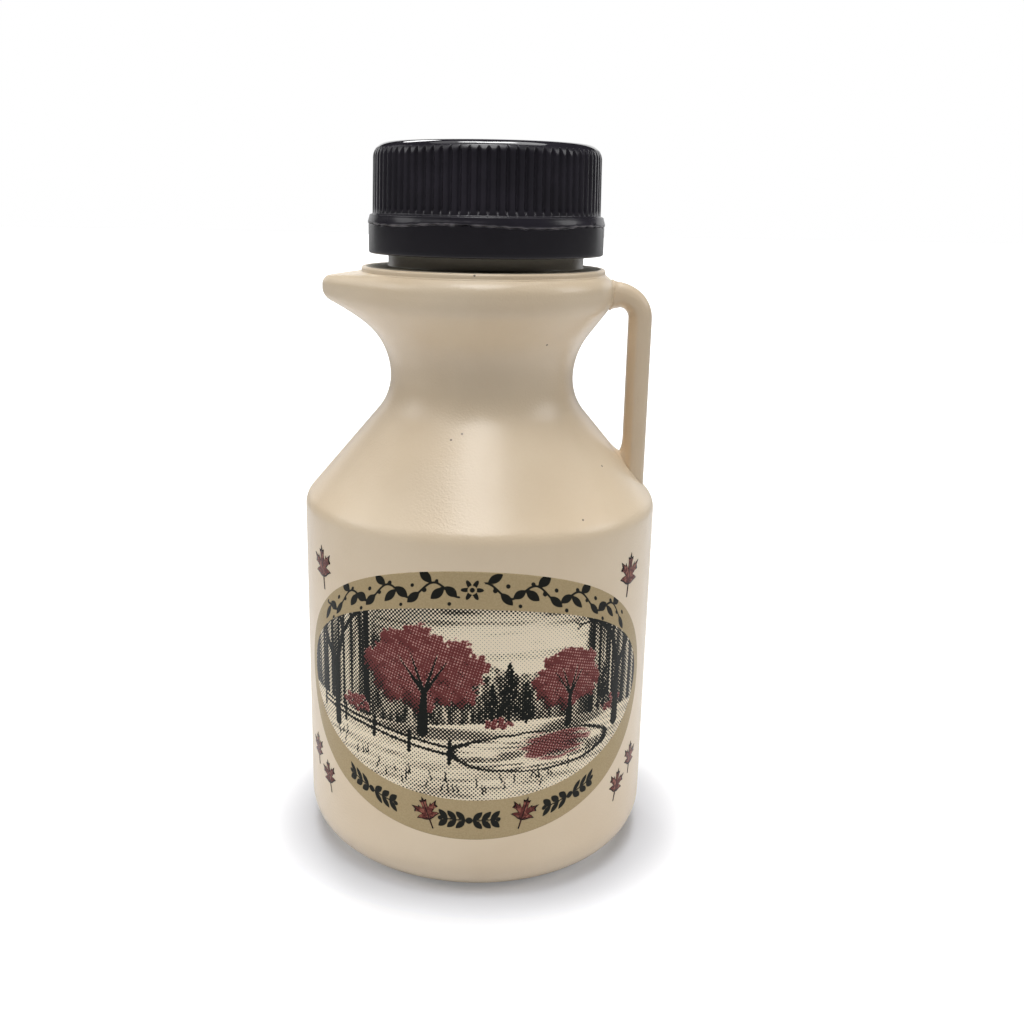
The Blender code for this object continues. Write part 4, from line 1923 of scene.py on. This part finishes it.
@dataclass
class MapleLeaf(Film):
    """A small printed maple leaf, one unit tall until it gets its size."""

    azimuth: float
    height: float
    size: float
    tilt: float
    cut: int = 4
    shares: tuple[float, ...] = (0.25, 0.5, 0.7, 0.85, 0.98, 1.0)
    side: tuple[Point, ...] = (
        (0.0, 1.0),
        (0.055, 0.84),
        (0.15, 0.87),
        (0.11, 0.7),
        (0.115, 0.52),
        (0.26, 0.7),
        (0.27, 0.62),
        (0.52, 0.74),
        (0.44, 0.58),
        (0.5, 0.47),
        (0.35, 0.43),
        (0.21, 0.32),
        (0.36, 0.27),
        (0.48, 0.19),
        (0.3, 0.13),
        (0.15, 0.05),
        (0.03, 0.02),
        (0.025, -0.36),
    )
    middle: Point = (0.0, 0.34)
    pivot: float = 0.35
    veins: tuple[Point, ...] = (
        (0.0, 0.94),
        (0.46, 0.69),
        (-0.46, 0.69),
        (0.42, 0.19),
        (-0.42, 0.19),
        (0.0, -0.36),
    )

    def outline(self) -> Array:
        """Outline of a leaf one unit tall without its stalk.

        Returns:
            The points anticlockwise, with each edge cut in equal parts.
        """
        side = np.array(self.side)
        ring = np.concatenate((side * (-1, 1), side[::-1][:-1]))
        after = np.roll(ring, -1, axis=0)
        shares = np.arange(self.cut)[None, :, None] / self.cut
        return (ring[:, None] + (after - ring)[:, None] * shares).reshape(-1, 2)

    def vein_distance(self, flat: Array) -> Array:
        """Distance to the nearest vein, all of which run from the foot of the leaf.

        Args:
            flat: points of the flat leaf.

        Returns:
            The distance of each point in millimetres.
        """
        least = np.full(len(flat), FAR)
        for tip in np.array(self.veins):
            share = np.clip(flat @ tip / (tip @ tip), 0, 1)
            least = np.minimum(least, np.linalg.norm(flat - share[:, None] * tip, axis=1))
        return least * self.size

    def build(self, name: str, material: bpy.types.Material) -> bpy.types.Object:
        """Makes the leaf: rings from its middle to its outline, turned, bent round the wall and closed.

        Args:
            name: the leaf's name.
            material: the leaf's ink, which reads the attribute leaf.

        Returns:
            The object.
        """
        outline = self.outline()
        shares = np.array(self.shares)
        middle = np.array(self.middle)
        rings = middle + (outline - middle)[None] * shares[:, None, None]
        flat = np.concatenate((rings.reshape(-1, 2), middle[None], middle[None]))
        count = len(outline)
        share = np.concatenate((np.repeat(shares, count), (0.0, 0.0)))
        rim = share >= 1
        rim[-1] = True
        tilt = np.radians(self.tilt)
        x, y = flat[:, 0], flat[:, 1] - self.pivot
        across = (x * np.cos(tilt) - y * np.sin(tilt)) * self.size
        up = (x * np.sin(tilt) + y * np.cos(tilt)) * self.size
        points = self.bend(np.radians(self.azimuth) + across / WALL_RADIUS, rim, self.height + up)
        rows = len(shares)
        faces = ring_faces(rows, count)[:, ::-1]
        poles = caps(rows, count, rows * count, rows * count + 1)[:, ::-1]
        attributes = {"leaf": np.column_stack((share, self.vein_distance(flat), np.zeros(len(flat))))}
        return add_piece(name, points, (faces, poles), material, Slot.JUG, attributes)


def print_front() -> None:
    """Prints the oval and the leaves round it and on its band."""
    PrintedOval().build(PrintedPlastic().build("oval_print"))
    ink = LeafInk().build("maroon_leaf_ink")
    leaves = (
        ("leaf_upper_left", MapleLeaf(-56, 55.8, 5.9, 8)),
        ("leaf_upper_right", MapleLeaf(56, 55.8, 5.9, -8)),
        ("leaf_lower_left_outer", MapleLeaf(-63.5, 19.4, 4.6, 8)),
        ("leaf_lower_left_inner", MapleLeaf(-54.5, 16.0, 4.6, 15)),
        ("leaf_lower_right_outer", MapleLeaf(63.5, 19.4, 4.6, -8)),
        ("leaf_lower_right_inner", MapleLeaf(54.5, 16.0, 4.6, -15)),
        ("leaf_band_left", MapleLeaf(-13.1, 16.5, 4.6, 20, proud=0.1)),
        ("leaf_band_right", MapleLeaf(16.8, 16.7, 4.6, -16, proud=0.1)),
    )
    for name, leaf in leaves:
        leaf.build(name, ink)


# The studio


@dataclass
class Studio:
    """Camera, floor and soft lights.

    Each light gives its azimuth, elevation, strength and spread.
    """

    distance: float = 204.0
    height: float = 117.1
    pitch: float = 15.30
    yaw: float = 0.02
    roll: float = 0.91
    turn: float = 1.75
    focal_px: float = 1132.0
    centre_px: float = 480.0
    picture_px: float = 1024.0
    sensor: float = 36.0
    floor_half: float = 4000.0
    lights: tuple[tuple[float, float, float, float], ...] = (
        (0, 72, 1.26, 32),
        (0, 54, 0.22, 17),
        (-36, 70, 0.26, 28),
        (144, 70, 0.5, 28),
        (-144, 70, 0.14, 28),
        (181, 77, 0.26, 10),
        (158, 72, 0.26, 10),
        (204, 72, 0.26, 10),
        (-158, 40, 0.22, 12),
        (60, 50, 0.12, 28),
        (-60, 50, 0.2, 28),
        (90, 28, 0.53, 28),
        (-90, 28, 0.42, 28),
        (-120, 28, 0.1, 28),
        (-60, 28, 0.06, 28),
        (180, 8, 0.34, 40),
        (-148, 5, 0.12, 24),
        (148, 6, 0.13, 24),
    )

    def camera(self) -> bpy.types.Object:
        """Adds the camera at the photograph's place and angle.

        Returns:
            The camera.
        """
        pitch, yaw, roll = np.radians((self.pitch, self.yaw, self.roll))
        ahead = Vector((np.sin(yaw) * np.cos(pitch), np.cos(yaw) * np.cos(pitch), -np.sin(pitch)))
        right = Vector((np.cos(yaw), -np.sin(yaw), 0))
        up = right.cross(ahead)
        right, up = right * np.cos(roll) + up * np.sin(roll), up * np.cos(roll) - right * np.sin(roll)
        axes = Matrix((right, up, -ahead)).transposed().to_4x4()
        place = Matrix.Translation((0, -self.distance * MM, self.height * MM))
        data = bpy.data.cameras.new("camera")
        data.sensor_width = self.sensor
        data.lens = data.sensor_width * self.focal_px / self.picture_px
        data.shift_x = (self.picture_px / 2 - self.centre_px) / self.picture_px
        data.clip_start = 0.01
        camera = bpy.data.objects.new("camera", data)
        bpy.context.scene.collection.objects.link(camera)
        camera.matrix_world = Matrix.Rotation(np.radians(self.turn), 4, "Z") @ place @ axes
        bpy.context.scene.camera = camera
        return camera

    def light(self, azimuth: float, elevation: float, strength: float, spread: float) -> None:
        """Adds a large round softbox that is far away, so that it lights jug and floor evenly.

        Args:
            azimuth: angle round Z in degrees, from -Y towards +X.
            elevation: angle above the floor in degrees.
            strength: light on a surface that faces it, in watts to the square metre.
            spread: how wide it looks from the jug, in degrees.
        """
        data = bpy.data.lights.new(f"softbox_{azimuth:.0f}_{elevation:.0f}", "SUN")
        data.energy = strength
        data.angle = np.radians(spread)
        light = bpy.data.objects.new(data.name, data)
        a, e = np.radians((azimuth, elevation))
        out = Vector((np.sin(a) * np.cos(e), -np.cos(a) * np.cos(e), np.sin(e)))
        light.rotation_euler = out.to_track_quat("Z", "Y").to_euler()
        bpy.context.scene.collection.objects.link(light)

    def surroundings(self) -> None:
        """A tent that is white behind the jug and dark in what the jug mirrors."""
        graph = Graph(bpy.data.worlds.new("light_tent"))
        seen = graph.node("LightPath").outputs["Is Camera Ray"]
        tent = graph.node("Background", inputs={"Color": (1.0, 1.0, 1.0, 1.0), "Strength": seen})
        graph.node("OutputWorld", inputs={"Surface": tent.outputs["Background"]})
        bpy.context.scene.world = graph.owner
        bpy.context.scene.view_settings.view_transform = "Standard"

    def build(self) -> None:
        """Adds the camera, the floor, the lights and the white surroundings."""
        self.camera()
        corners = np.array(((-1, -1, 0), (1, -1, 0), (1, 1, 0), (-1, 1, 0))) * self.floor_half
        white_sweep = StudioFloor().build("white_sweep")
        add_piece("studio_floor", corners, (np.array(((0, 1, 2, 3),)),), white_sweep, None)
        for light in self.lights:
            self.light(*light)
        self.surroundings()


def main() -> None:
    """Builds the studio and then the jug, piece by piece."""
    logging.basicConfig(level=logging.INFO, format="%(name)s: %(message)s")
    Studio().build()
    handle, jug = Handle(), Jug()
    cream = CreamPlastic(flecks=jug.flecks).build("cream_polyethylene")
    jug.build(handle, cream)
    # painted shade: the handle, moulded in one with the jug, gets a darker copy of the cream in place of
    # shade that the lights do not give it
    shaded_handle_cream = CreamPlastic(colour=srgb(228, 209, 182), shade=srgb(219, 197, 167))
    handle.build(jug, shaded_handle_cream.build("cream_handle_painted_shade"))
    ScrewCap().build(BlackPlastic().build("black_polypropylene"))
    smooth_black = BlackPlastic(colour=srgb(24, 21, 28), haze=srgb(30, 27, 34), sheen=0.5)
    TamperBand().build(smooth_black.build("smooth_black_polypropylene"))
    print_front()


if __name__ == "__main__":
    main()
